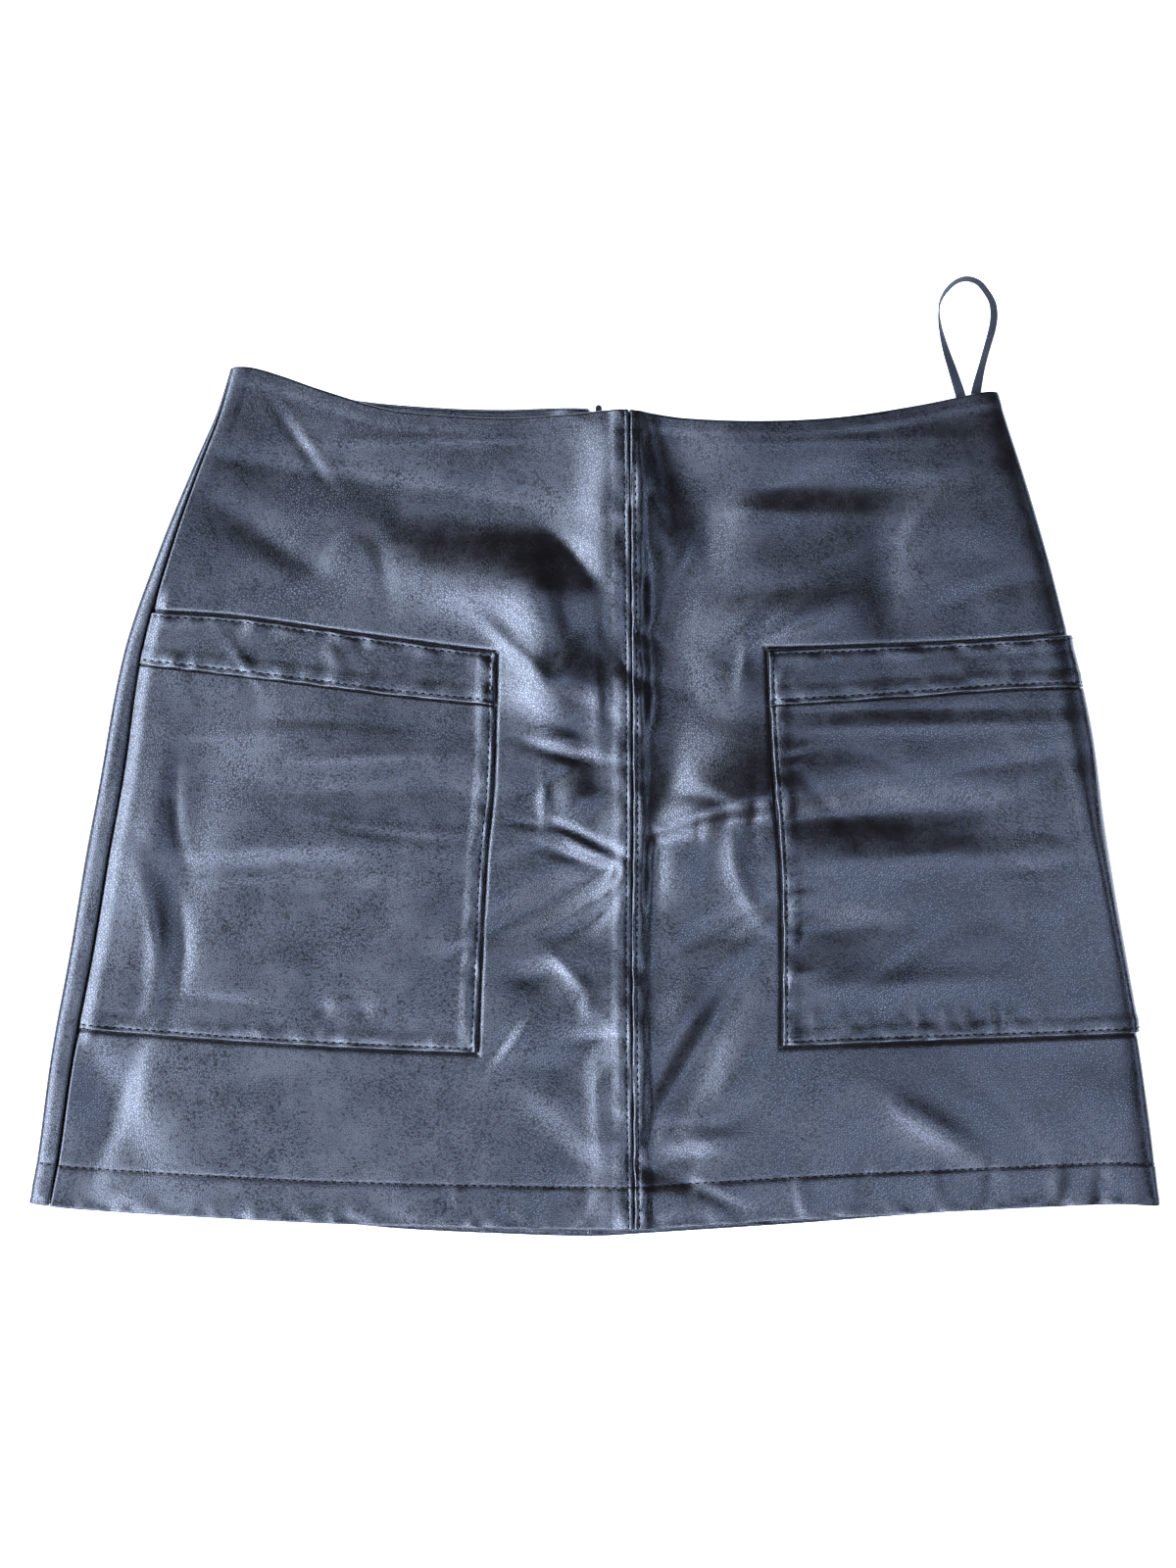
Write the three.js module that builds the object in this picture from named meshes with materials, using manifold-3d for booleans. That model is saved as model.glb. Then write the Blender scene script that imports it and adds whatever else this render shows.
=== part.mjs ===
import * as THREE from 'three';
import { mergeVertices } from 'three/addons/utils/BufferGeometryUtils.js';
import Module from 'manifold-3d';

// A leather mini skirt laid flat with its front up. Sizes are in millimetres.
// +X is to the right of the front, +Y is towards the waist and +Z is up from the surface.
// The origin is on the surface, under the middle of the whole outline.

// Leather and seams
const leather = 1.1;
const hemLeather = 1.7;
const bandLeather = 1.6;
const seamGap = 0.3;
const layerGap = 0.3;
const hemDepth = 20.5;

// Heights of the front's outer face above the surface
const restHeight = 5.4;
const deepestFold = 1.7;
const leftRise = { high: 1.3, reach: 45 };
const rightRise = { high: 2.5, reach: 70 };
const endReach = 50;
const endShare = 0.4;

// The rolls at the two sides: how far in each one reaches on top and below, and its middle height
const leftRoll = { top: 6.5, below: 3.5, middle: 0.45 };
const rightRoll = { top: 16, below: 4.5, middle: 0.42 };
const rightSeamInset = 17;
const pocketRamp = 12;
const shoulder = 7;

// Zip, slider and pull tab
const zip = { length: 160, half: 2.5, mouthHalf: 5, flare: 22, endTaper: 14 };
const tape = { from: 2.8, to: 13, low: 1.4, thick: 1, top: 1.5, pastChain: 3.5 };
const chain = { half: 2.5, low: 1.7, high: 2.7 };
const slider = {
  plateHalf: 3.2, plateLow: 3, plateHigh: 3.6, long: 10,
  neckHalf: 2.3, neckLow: 1.6, neckLong: 2.5, neckOverlap: 0.2,
  hingeAhead: 2, plateAhead: 1,
};
const cheek = { inner: 1.75, outer: 2.3, low: 0.3, high: 1.75, past: 3 };
const pull = {
  tip: 171, hinge: 162, height: 1, half: 1.5, thick: 0.8,
  knuckle: 0.92, bore: 0.6, pin: 0.35, pinInCheek: 0.2,
};
const pullWindow = { half: 0.55, from: 166.6, to: 169.2 };
const pullArcSteps = 8;

// Facing inside the back waist, and the hanging loop
const facing = {
  depth: 30, below: 0.8, fromZip: 4.5, fromLeftEdge: 14, rightEnd: 172,
  low: 1.4, overTape: 2.7, pastTape: 1, thick: 1, ramp: 10, cells: 10,
};
const ribbon = { wide: 5, thick: 1, steps: 44 };

// Outline of the sides, row by row up the skirt
const leftEdgeRows = [
  { y: -217.6, x: -275.2 }, { y: -194.8, x: -270.9 }, { y: -146.2, x: -264.3 }, { y: -93.8, x: -254.8 },
  { y: -47.1, x: -247.1 }, { y: -13.8, x: -240.8 }, { y: 34.3, x: -232.4 }, { y: 61.4, x: -225.6 },
  { y: 104.3, x: -210.0 }, { y: 145.0, x: -193.2 }, { y: 166.4, x: -183.8 }, { y: 189.0, x: -176.7 },
];
const rightEdgeRows = [
  { y: -219.3, x: 275.2 }, { y: -183.3, x: 271.0 }, { y: -136.2, x: 264.3 }, { y: -79.5, x: 254.3 },
  { y: -34.3, x: 246.9 }, { y: 6.2, x: 241.9 }, { y: 36.2, x: 236.0 }, { y: 61.4, x: 229.8 },
  { y: 92.9, x: 221.9 }, { y: 130.5, x: 211.0 }, { y: 168.1, x: 199.0 }, { y: 177.1, x: 196.2 },
];
const leftSeamRows = [
  { y: -218, inset: 10.9 }, { y: -198, inset: 10.9 }, { y: -109, inset: 12.0 }, { y: -11, inset: 11.8 },
  { y: 70, inset: 8.3 }, { y: 135, inset: 4.2 }, { y: 154, inset: 3.1 }, { y: 174, inset: 1.6 },
  { y: 190, inset: 1.2 },
];
const centreFrontRows = [{ y: -230, x: 19.5 }, { y: -120, x: 18.3 }, { y: -14, x: 18.6 }, { y: 168, x: 17.1 }];
const centreBackRows = [{ y: -234, x: -1.9 }, { y: 0, x: 0.2 }, { y: 170, x: 2.4 }];

// Outline of the waist and hem edges
const frontWaistRows = [
  { x: -176.7, y: 189.0 }, { x: -166.2, y: 188.6 }, { x: -152.4, y: 184.8 }, { x: -133.1, y: 178.1 },
  { x: -101.9, y: 168.7 }, { x: -84.3, y: 166.4 }, { x: -45, y: 164.0 }, { x: -16.7, y: 165.4 },
  { x: 16.2, y: 167.8 }, { x: 44.3, y: 164.3 }, { x: 81.9, y: 162.8 }, { x: 119.5, y: 164.6 },
  { x: 157.1, y: 170.3 }, { x: 191.0, y: 176.9 }, { x: 196.2, y: 177.1 },
];
const backWaistRows = [
  { x: -176.7, y: 189.0 }, { x: -150, y: 182.6 }, { x: -130, y: 176.4 }, { x: -111.2, y: 172.6 },
  { x: -75, y: 169.6 }, { x: -45, y: 168.7 }, { x: -10, y: 169.6 }, { x: 8, y: 168.4 }, { x: 23, y: 167.6 },
  { x: 50, y: 163.6 }, { x: 80, y: 161.6 }, { x: 120, y: 162.8 }, { x: 160, y: 169.4 }, { x: 196.2, y: 177.1 },
];
const frontHemRows = [
  { x: -275.2, y: -217.6 }, { x: -253.6, y: -220.5 }, { x: -191.4, y: -224.3 }, { x: -123.3, y: -227.8 },
  { x: -35.7, y: -229.8 }, { x: 18.6, y: -230.4 }, { x: 58.6, y: -227.8 }, { x: 119.5, y: -224.2 },
  { x: 194.8, y: -220.8 }, { x: 255, y: -218.2 }, { x: 275.2, y: -219.3 },
];
const backHemRows = [
  { x: -275.2, y: -217.6 }, { x: -253, y: -219.5 }, { x: -191, y: -223.0 }, { x: -123.3, y: -228.1 },
  { x: -94.3, y: -230.7 }, { x: -55.2, y: -232.7 }, { x: -1.9, y: -234.3 }, { x: 25.2, y: -232.9 },
  { x: 100.5, y: -228.0 }, { x: 157, y: -223.6 }, { x: 232, y: -218.9 }, { x: 275.2, y: -219.3 },
];

// Lines of the two patch pockets: mouth, band seam, lower edge and the edge nearer the centre
const pocketRows = {
  left: {
    mouth: [
      { x: -213.8, y: 69.8 }, { x: -171.9, y: 66.9 }, { x: -113.8, y: 58.6 }, { x: -47.6, y: 49.8 },
      { x: 17, y: 44 },
    ],
    bandSeam: [
      { x: -218.6, y: 43.8 }, { x: -171.9, y: 38.6 }, { x: -94.3, y: 28.8 }, { x: -51.9, y: 24.5 },
      { x: 17, y: 19 },
    ],
    foot: [
      { x: -249.7, y: -132.9 }, { x: -171.9, y: -139.0 }, { x: -94.3, y: -143.3 }, { x: -56.9, y: -144.6 },
      { x: 17, y: -146 },
    ],
    inner: [
      { y: -230, x: -60 }, { y: -144.3, x: -56.9 }, { y: -81.9, x: -54.3 }, { y: -43.3, x: -52.0 },
      { y: -13.8, x: -49.2 }, { y: 50, x: -47.6 }, { y: 167, x: -44 },
    ],
  },
  right: {
    mouth: [
      { x: 18, y: 49 }, { x: 84.3, y: 51.4 }, { x: 157.1, y: 54.1 }, { x: 194.8, y: 56.0 },
      { x: 233.8, y: 58.8 },
    ],
    bandSeam: [
      { x: 18, y: 21 }, { x: 85.5, y: 24.3 }, { x: 157.1, y: 28.7 }, { x: 194.8, y: 31.5 },
      { x: 238.1, y: 32.9 },
    ],
    foot: [
      { x: 19, y: -144 }, { x: 91.4, y: -141.4 }, { x: 138.1, y: -139.5 }, { x: 213.6, y: -136.7 },
      { x: 264.3, y: -134.6 },
    ],
    inner: [
      { y: -225, x: 93 }, { y: -141.4, x: 91.4 }, { y: -79.5, x: 91.4 }, { y: -41.9, x: 90.0 },
      { y: -13.8, x: 87.3 }, { y: 51.4, x: 84.3 }, { y: 163, x: 80 },
    ],
  },
};

// The largest folds of the front: middle, turn in degrees, half length, half width, and rise or fall
const folds = [
  { x: -107.6, y: 131.4, turn: -8, long: 65, wide: 11, rise: -0.8 },
  { x: -55.2, y: 110.0, turn: 0, long: 35, wide: 12, rise: -1.5 },
  { x: 3.3, y: 114.8, turn: 90, long: 45, wide: 9, rise: 1.2 },
  { x: -24.3, y: 38.6, turn: -75, long: 35, wide: 11, rise: 1.4 },
  { x: -21.9, y: -71.0, turn: 34, long: 32, wide: 11, rise: -1.5 },
  { x: 34.3, y: 57.6, turn: 91, long: 110, wide: 11, rise: -1.6 },
  { x: 28.0, y: -109.0, turn: 88, long: 60, wide: 11, rise: -1.0 },
  { x: 41.0, y: 91.0, turn: 65, long: 32, wide: 11, rise: -1.2 },
  { x: 116.0, y: 129.0, turn: -3, long: 50, wide: 12, rise: -1.2 },
  { x: 142.0, y: 88.6, turn: 85, long: 28, wide: 15, rise: -1.0 },
  { x: 94.8, y: 70.0, turn: 18, long: 26, wide: 11, rise: 1.2 },
  { x: 50.5, y: -152.0, turn: 62, long: 48, wide: 11, rise: -1.2 },
  { x: 147.0, y: -28.0, turn: -3, long: 42, wide: 12, rise: -1.3 },
  { x: 123.0, y: -85.0, turn: 10, long: 22, wide: 11, rise: -0.9 },
  { x: -131.0, y: 5.0, turn: -5, long: 70, wide: 11, rise: 0.7 },
  { x: -146.0, y: -42.0, turn: -5, long: 60, wide: 12, rise: 0.6 },
  { x: -217.0, y: -57.0, turn: 80, long: 55, wide: 10, rise: 0.8 },
  { x: -198.0, y: -57.0, turn: 80, long: 50, wide: 11, rise: -0.7 },
  { x: -236.0, y: -166.0, turn: -62, long: 30, wide: 11, rise: -1.3 },
];

// Route of the hanging loop along its middle: place, height and turn of the ribbon from lying flat
const loopRows = [
  { x: 180.2, y: 163.5, z: 1.9, turn: 0 }, { x: 180.0, y: 169.0, z: 1.9, turn: 0 },
  { x: 178.8, y: 174.6, z: 1.9, turn: 4 }, { x: 174.8, y: 187.5, z: 2.1, turn: 25 },
  { x: 171.6, y: 197.2, z: 2.5, turn: 42 }, { x: 169.1, y: 206.9, z: 2.9, turn: 62 },
  { x: 168.1, y: 213.8, z: 3.0, turn: 75 }, { x: 168.4, y: 220.0, z: 3.0, turn: 90 },
  { x: 171.3, y: 225.8, z: 3.0, turn: 108 }, { x: 176.1, y: 230.4, z: 2.9, turn: 117 },
  { x: 181.6, y: 232.0, z: 2.8, turn: 129 }, { x: 187.1, y: 230.2, z: 2.7, turn: 135 },
  { x: 191.6, y: 224.9, z: 2.6, turn: 137 }, { x: 194.0, y: 220.3, z: 2.5, turn: 139 },
  { x: 194.7, y: 214.7, z: 2.5, turn: 141 }, { x: 194.0, y: 208.4, z: 2.5, turn: 139 },
  { x: 191.0, y: 197.5, z: 2.5, turn: 134 }, { x: 188.5, y: 188.2, z: 2.4, turn: 138 },
  { x: 186.2, y: 177.6, z: 2.0, turn: 165 }, { x: 185.6, y: 172.0, z: 1.9, turn: 180 },
  { x: 185.6, y: 163.5, z: 1.9, turn: 180 },
];

// How many cells each stretch of a panel has, up the skirt and across it
const rowCells = { hem: 1, underPocket: 5, pocket: 12, band: 2, overBand: 8 };
const columnCells = {
  shoulder: 2, pocketLeft: 10, besideLeft: 5,
  besideRight: 5, pocketRight: 8, roll: 4, rollBelow: 3, under: 1,
};
const backCells = { flat: 6, rollBelow: 3, top: 5 };

const black = (color, roughness, metalness = 0) => (
  new THREE.MeshStandardMaterial({ color, roughness, metalness })
);
const materials = {
  leather: black(0x26262c, 0.42),
  tape: black(0x18181b, 0.9),
  metal: black(0x2c2a2b, 0.35, 0.9),
  grosgrain: black(0x1b1c22, 0.8),
};

const degree = Math.PI / 180;
const settleRounds = 12;
const weldWithin = 1e-4;
const barSides = 20;
const mix = (a, b, share) => a + (b - a) * share;
const smooth = (t) => {
  const c = Math.min(1, Math.max(0, t));
  return c * c * (3 - 2 * c);
};

// A smooth curve through a table: the value of one column at a place along another
function curve(rows, along, column) {
  const slope = (i) => {
    const a = rows[Math.max(0, i - 1)];
    const b = rows[Math.min(rows.length - 1, i + 1)];
    return (b[column] - a[column]) / (b[along] - a[along]);
  };
  return (place) => {
    const last = rows.length - 1;
    if (place <= rows[0][along]) return rows[0][column] + slope(0) * (place - rows[0][along]);
    if (place >= rows[last][along]) return rows[last][column] + slope(last) * (place - rows[last][along]);
    const i = rows.findIndex((row) => row[along] > place) - 1;
    const step = rows[i + 1][along] - rows[i][along];
    const t = (place - rows[i][along]) / step;
    const near = rows[i][column] * (1 + 2 * t) * (1 - t) ** 2 + rows[i + 1][column] * t * t * (3 - 2 * t);
    return near + step * t * (1 - t) * (slope(i) * (1 - t) - slope(i + 1) * t);
  };
}

const leftEdge = curve(leftEdgeRows, 'y', 'x');
const rightEdge = curve(rightEdgeRows, 'y', 'x');
const leftInset = curve(leftSeamRows, 'y', 'inset');
const centreFront = curve(centreFrontRows, 'y', 'x');
const centreBack = curve(centreBackRows, 'y', 'x');
const frontWaist = curve(frontWaistRows, 'x', 'y');
const backWaist = curve(backWaistRows, 'x', 'y');
const frontHem = curve(frontHemRows, 'x', 'y');
const backHem = curve(backHemRows, 'x', 'y');
const leftSeam = (y) => leftEdge(y) + leftInset(y);
const pocketLines = {};
for (const side of ['left', 'right']) {
  pocketLines[side] = {
    mouth: curve(pocketRows[side].mouth, 'x', 'y'),
    bandSeam: curve(pocketRows[side].bandSeam, 'x', 'y'),
    foot: curve(pocketRows[side].foot, 'x', 'y'),
    inner: curve(pocketRows[side].inner, 'y', 'x'),
  };
}

// Share of the full side rise that is left near the hem and the waist
function endFade(x, y) {
  const fromEnd = Math.min(y - frontHem(x), frontWaist(x) - y);
  return mix(endShare, 1, smooth(fromEnd / endReach));
}

// Sum of the folds at a place, with troughs held to the deepest fold
function foldRise(x, y) {
  let sum = 0;
  for (const fold of folds) {
    const dx = x - fold.x;
    const dy = y - fold.y;
    const along = dx * Math.cos(fold.turn * degree) + dy * Math.sin(fold.turn * degree);
    const across = dy * Math.cos(fold.turn * degree) - dx * Math.sin(fold.turn * degree);
    sum += fold.rise * Math.exp(-((along / fold.long) ** 2) - (across / fold.wide) ** 2);
  }
  return sum < 0 ? -deepestFold * (1 - Math.exp(sum / deepestFold)) : sum;
}

// Height of the front's outer face without the rolls at the sides
function crest(x, y) {
  const fade = endFade(x, y);
  const left = leftRise.high * smooth(1 - (x - leftEdge(y)) / leftRise.reach);
  const right = rightRise.high * smooth(1 - (rightEdge(y) - x) / rightRise.reach);
  return restHeight + (left + right) * fade + foldRise(x, y);
}

// Share of a pocket's thickness at a height: full beside the pocket, none past its ramps
function besidePocket(side, x, y) {
  const lines = pocketLines[side];
  const over = smooth(1 - (y - lines.mouth(x)) / pocketRamp);
  const under = smooth(1 - (lines.foot(x) - y) / pocketRamp);
  return over * under;
}

function pocketThickness(side, x, y) {
  const band = smooth((y - pocketLines[side].bandSeam(x) + pocketRamp / 2) / pocketRamp);
  return besidePocket(side, x, y) * (layerGap + mix(leather, bandLeather, band));
}

// The outer face round one side: across is how far the point is from the edge
function rolled(high, middle, across, reach) {
  const t = Math.min(1, Math.max(0, across / reach));
  return middle + (high - middle) * Math.sqrt(1 - (1 - t) ** 2);
}

// Height of the outer face on top of the skirt, left roll included
function topHeight(x, y) {
  const high = crest(x, y);
  return rolled(high, leftRoll.middle * high, x - leftEdge(y), leftRoll.top);
}

// The front sinks by the pocket's thickness where the pocket is caught in the left seam
function frontHeight(x, y) {
  const nearSeam = 1 - smooth((x - leftSeam(y)) / shoulder);
  return topHeight(x, y) - pocketThickness('left', x, y) * nearSeam;
}

// Columns across the skirt. Each gives the place and height at a height up the skirt, and its face.
const column = (x, height) => ({ face: 'top', at: (y) => ({ x: x(y), z: height(x(y), y) }) });

function rightRollColumn(share) {
  const turn = share * Math.PI / 2;
  const at = (y) => {
    const x = rightEdge(y) - rightRoll.top * (1 - Math.sin(turn));
    const high = crest(x, y);
    const middle = rightRoll.middle * high;
    return { x, z: middle + (high - middle) * Math.cos(turn) };
  };
  return { face: 'top', at };
}

function rightBelowColumn(share) {
  const turn = share * Math.PI / 2;
  const at = (y) => {
    const edge = rightEdge(y);
    const lift = pocketThickness('right', edge, y);
    const middle = rightRoll.middle * crest(edge, y);
    const x = edge - rightRoll.below * (1 - Math.cos(turn));
    return { x, z: lift + (middle - lift) * (1 - Math.sin(turn)) };
  };
  return { face: 'below', at };
}

function rightUnderColumn(inset) {
  const at = (y) => ({ x: rightEdge(y) - inset, z: pocketThickness('right', rightEdge(y), y) });
  return { face: 'below', at };
}

const flatColumn = (x) => ({ face: 'below', at: (y) => ({ x: x(y), z: 0 }) });

function leftBelowColumn(share) {
  const turn = share * Math.PI / 2;
  const at = (y) => {
    const edge = leftEdge(y);
    const middle = leftRoll.middle * crest(edge, y);
    return { x: edge + leftRoll.below * (1 - Math.sin(turn)), z: middle * (1 - Math.cos(turn)) };
  };
  return { face: 'below', at };
}

const leftTopColumn = (share, gap) => column(
  (y) => leftEdge(y) + (leftInset(y) - gap) * (1 - Math.cos(share * Math.PI / 2)),
  topHeight,
);

// A run of columns between two lines, with the first left out after an earlier run
function span(cells, from, to, height, withFirst = true) {
  const run = [];
  for (let i = withFirst ? 0 : 1; i <= cells; i += 1) {
    run.push(column((y) => mix(from(y), to(y), i / cells), height));
  }
  return run;
}

function times(cells, make, withFirst = false) {
  const run = [];
  for (let i = withFirst ? 0 : 1; i <= cells; i += 1) run.push(make(i / cells));
  return run;
}

// Rows up the skirt. Each one has its line on top and its line below, which meet at the side edge.
function rowsOf(side) {
  const lines = pocketLines[side];
  const edge = side === 'left' ? leftEdge : rightEdge;
  const level = (line) => {
    let y = 0;
    for (let k = 0; k < settleRounds; k += 1) y = line(edge(y));
    return () => y;
  };
  const marks = [
    { top: frontHem, below: backHem },
    { top: (x) => frontHem(x) + hemDepth, below: (x) => backHem(x) + hemDepth },
    { top: lines.foot, below: level(lines.foot) },
    { top: lines.bandSeam, below: level(lines.bandSeam) },
    { top: lines.mouth, below: level(lines.mouth) },
    { top: frontWaist, below: backWaist },
  ];
  const cells = [rowCells.hem, rowCells.underPocket, rowCells.pocket, rowCells.band, rowCells.overBand];
  const rows = [marks[0]];
  cells.forEach((count, k) => {
    for (let i = 1; i <= count; i += 1) {
      const between = (face) => (x) => mix(marks[k][face](x), marks[k + 1][face](x), i / count);
      rows.push({ top: between('top'), below: between('below') });
    }
  });
  return rows;
}

const footRow = rowCells.hem + rowCells.underPocket;
const seamRow = footRow + rowCells.pocket;
const mouthRow = seamRow + rowCells.band;

// The crossing points of columns and rows, with the direction out of the cloth at each
function net(columns, rows) {
  const points = columns.map((line) => rows.map((row) => {
    let y = row[line.face](0);
    for (let k = 0; k < settleRounds; k += 1) y = row[line.face](line.at(y).x);
    const { x, z } = line.at(y);
    return new THREE.Vector3(x, y, z);
  }));
  const clampTo = (list, i) => list[Math.min(list.length - 1, Math.max(0, i))];
  const normals = points.map((line, i) => line.map((_, j) => {
    const across = clampTo(points, i + 1)[j].clone().sub(clampTo(points, i - 1)[j]);
    const up = clampTo(line, j + 1).clone().sub(clampTo(line, j - 1));
    return across.cross(up).normalize();
  }));
  return { points, normals };
}

// Both walls that meet at the left seam have the direction of the smooth roll there
function levelSeam(piece, seamColumn) {
  const step = 0.5;
  piece.points[seamColumn].forEach((point, j) => {
    const { x, y } = point;
    const acrossFall = (topHeight(x + step, y) - topHeight(x - step, y)) / (2 * step);
    const upFall = (topHeight(x, y + step) - topHeight(x, y - step)) / (2 * step);
    piece.normals[seamColumn][j].set(-acrossFall, -upFall, 1).normalize();
  });
  return piece;
}

// The part of a net from one column and row to another
function patch(whole, firstColumn, lastColumn, firstRow, lastRow) {
  const cut = (list) => list.slice(firstColumn, lastColumn + 1).map(
    (line) => line.slice(firstRow, lastRow + 1).map((point) => point.clone()),
  );
  return { points: cut(whole.points), normals: cut(whole.normals) };
}

// Draws one row of a patch back from a seam, towards its neighbour row
function drawBack(piece, row, neighbour) {
  for (const line of piece.points) {
    const away = line[neighbour].clone().sub(line[row]).setLength(seamGap / 2);
    line[row].add(away);
  }
}

// A closed wall between two distances out from a net
function wall(piece, outer, inner) {
  const columns = piece.points.length - 1;
  const rows = piece.points[0].length - 1;
  const geometry = new THREE.BoxGeometry(1, 1, 1, columns, rows, 1);
  const position = geometry.getAttribute('position');
  for (let k = 0; k < position.count; k += 1) {
    const i = Math.round((position.getX(k) + 0.5) * columns);
    const j = Math.round((position.getY(k) + 0.5) * rows);
    const out = position.getZ(k) > 0 ? outer(i, j) : inner(i, j);
    const point = piece.points[i][j].clone().addScaledVector(piece.normals[i][j], out);
    position.setXYZ(k, point.x, point.y, point.z);
  }
  return merged(geometry);
}

function merged(geometry) {
  geometry.deleteAttribute('normal');
  geometry.deleteAttribute('uv');
  return mergeVertices(geometry, weldWithin);
}

const group = new THREE.Group();

function add(name, geometry, material) {
  geometry.computeVertexNormals();
  const mesh = new THREE.Mesh(geometry, material);
  mesh.name = name;
  group.add(mesh);
}

const onSurface = () => 0;
const panelInner = (i, j) => (j <= rowCells.hem ? -hemLeather : -leather);

// Half width of the gap between the two back panels, from the hem seam up to the zip's mouth
function backGap(x, y) {
  const down = backWaist(x) - y;
  const open = smooth((zip.length - down) / zip.endTaper);
  const flare = smooth(1 - down / zip.flare);
  return mix(seamGap / 2, mix(zip.half, zip.mouthHalf, flare), open);
}

// Front panels
function frontLeft() {
  const seam = (y) => leftSeam(y) + seamGap / 2;
  const past = (y) => leftSeam(y) + shoulder;
  const centre = (y) => centreFront(y) - seamGap / 2;
  const columns = [
    ...span(columnCells.shoulder, seam, past, frontHeight),
    ...span(columnCells.pocketLeft, past, pocketLines.left.inner, frontHeight, false),
    ...span(columnCells.besideLeft, pocketLines.left.inner, centre, frontHeight, false),
  ];
  return levelSeam(net(columns, rowsOf('left')), 0);
}

function frontRight() {
  const rollStart = (y) => rightEdge(y) - rightRoll.top;
  const columns = [
    ...span(columnCells.besideRight, (y) => centreFront(y) + seamGap / 2, pocketLines.right.inner, crest),
    ...span(columnCells.pocketRight, pocketLines.right.inner, rollStart, crest, false),
    ...times(columnCells.roll, rightRollColumn),
    ...times(columnCells.rollBelow, rightBelowColumn),
    ...times(columnCells.under, (share) => rightUnderColumn(
      mix(rightRoll.below, rightSeamInset - seamGap / 2, share),
    )),
  ];
  return net(columns, rowsOf('right'));
}

// Back panels, which lie flat on the surface
function backRight() {
  const seam = (y) => rightEdge(y) - rightSeamInset - seamGap / 2;
  const middle = (y) => centreBack(y) + backGap(centreBack(y), y);
  const columns = times(backCells.flat, (share) => flatColumn((y) => mix(seam(y), middle(y), share)), true);
  return net(columns, rowsOf('right'));
}

function backLeft() {
  const middle = (y) => centreBack(y) - backGap(centreBack(y), y);
  const rollStart = (y) => leftEdge(y) + leftRoll.below;
  const columns = [
    ...times(backCells.flat, (share) => flatColumn((y) => mix(middle(y), rollStart(y), share)), true),
    ...times(backCells.rollBelow, leftBelowColumn),
    ...times(backCells.top, (share) => leftTopColumn(share, seamGap / 2)),
  ];
  return levelSeam(net(columns, rowsOf('left')), columns.length - 1);
}

// Patch pockets and their bands, from the front's own points moved out
function pocket(side, panel, firstColumn, lastColumn) {
  const bag = patch(panel, firstColumn, lastColumn, footRow, seamRow);
  const bagRows = bag.points[0].length - 1;
  drawBack(bag, bagRows, bagRows - 1);
  add(`pocket_${side}`, wall(bag, () => layerGap + leather, () => layerGap), materials.leather);
  const band = patch(panel, firstColumn, lastColumn, seamRow, mouthRow);
  drawBack(band, 0, 1);
  add(`pocket_${side}_band`, wall(band, () => layerGap + bandLeather, () => layerGap), materials.leather);
}

// Flat strips inside the back, such as the zip tapes and the facing
function strip(name, columns, rows, low, thick, material) {
  const lines = columns.map((x) => ({ face: 'top', at: (y) => ({ x: x(y), z: low(x(y), y) }) }));
  const piece = net(lines, rows.map((line) => ({ top: line })));
  for (const line of piece.normals) line.forEach((normal) => normal.set(0, 0, 1));
  add(name, wall(piece, () => thick, onSurface), material);
}

function zipTapes() {
  const foot = () => backWaist(0) - zip.length - tape.pastChain;
  const head = (x) => backWaist(x) - tape.top;
  const at = (offset) => (y) => centreBack(y) + offset;
  const low = () => tape.low;
  strip('zip_tape_left', [at(-tape.to), at(-tape.from)], [foot, head], low, tape.thick, materials.tape);
  strip('zip_tape_right', [at(tape.from), at(tape.to)], [foot, head], low, tape.thick, materials.tape);
  const chainFoot = () => backWaist(0) - zip.length;
  const chainHead = () => pull.hinge - slider.hingeAhead - slider.neckLong - layerGap;
  const sides = [at(-chain.half), at(chain.half)];
  strip('zip_chain', sides, [chainFoot, chainHead], () => chain.low, chain.high - chain.low, materials.tape);
}

function backFacing(side) {
  const sign = side === 'left' ? -1 : 1;
  const far = side === 'left' ? (y) => leftEdge(y) + facing.fromLeftEdge : () => facing.rightEnd;
  const rampStart = tape.to + facing.pastTape;
  const beside = (offset) => (y) => centreBack(y) + sign * offset;
  const afterRamp = beside(rampStart + facing.ramp);
  const run = [beside(facing.fromZip), beside(rampStart), afterRamp];
  for (let i = 1; i <= facing.cells; i += 1) run.push((y) => mix(afterRamp(y), far(y), i / facing.cells));
  if (sign < 0) run.reverse();
  const low = (x, y) => {
    const past = sign * (x - centreBack(y)) - rampStart;
    return mix(facing.overTape, facing.low, smooth(past / facing.ramp));
  };
  const rows = [(x) => backWaist(x) - facing.depth, (x) => backWaist(x) - facing.below];
  strip(`back_facing_${side}`, run, rows, low, facing.thick, materials.leather);
}

// The slider and its pull tab, cut and joined from simple solids
const wasm = await Module();
wasm.setup();

function solid(geometry) {
  const closed = merged(geometry);
  return new wasm.Manifold(new wasm.Mesh({
    numProp: 3,
    vertProperties: new Float32Array(closed.getAttribute('position').array),
    triVerts: new Uint32Array(closed.index.array),
  }));
}

function geometryOf(shape) {
  const mesh = shape.getMesh();
  const geometry = new THREE.BufferGeometry();
  geometry.setAttribute('position', new THREE.BufferAttribute(new Float32Array(mesh.vertProperties), 3));
  geometry.setIndex(new THREE.BufferAttribute(new Uint32Array(mesh.triVerts), 1));
  return geometry;
}

// A block between two places along each axis
function block(x0, x1, y0, y1, z0, z1) {
  const geometry = new THREE.BoxGeometry(x1 - x0, y1 - y0, z1 - z0);
  return solid(geometry.translate((x0 + x1) / 2, (y0 + y1) / 2, (z0 + z1) / 2));
}

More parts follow.
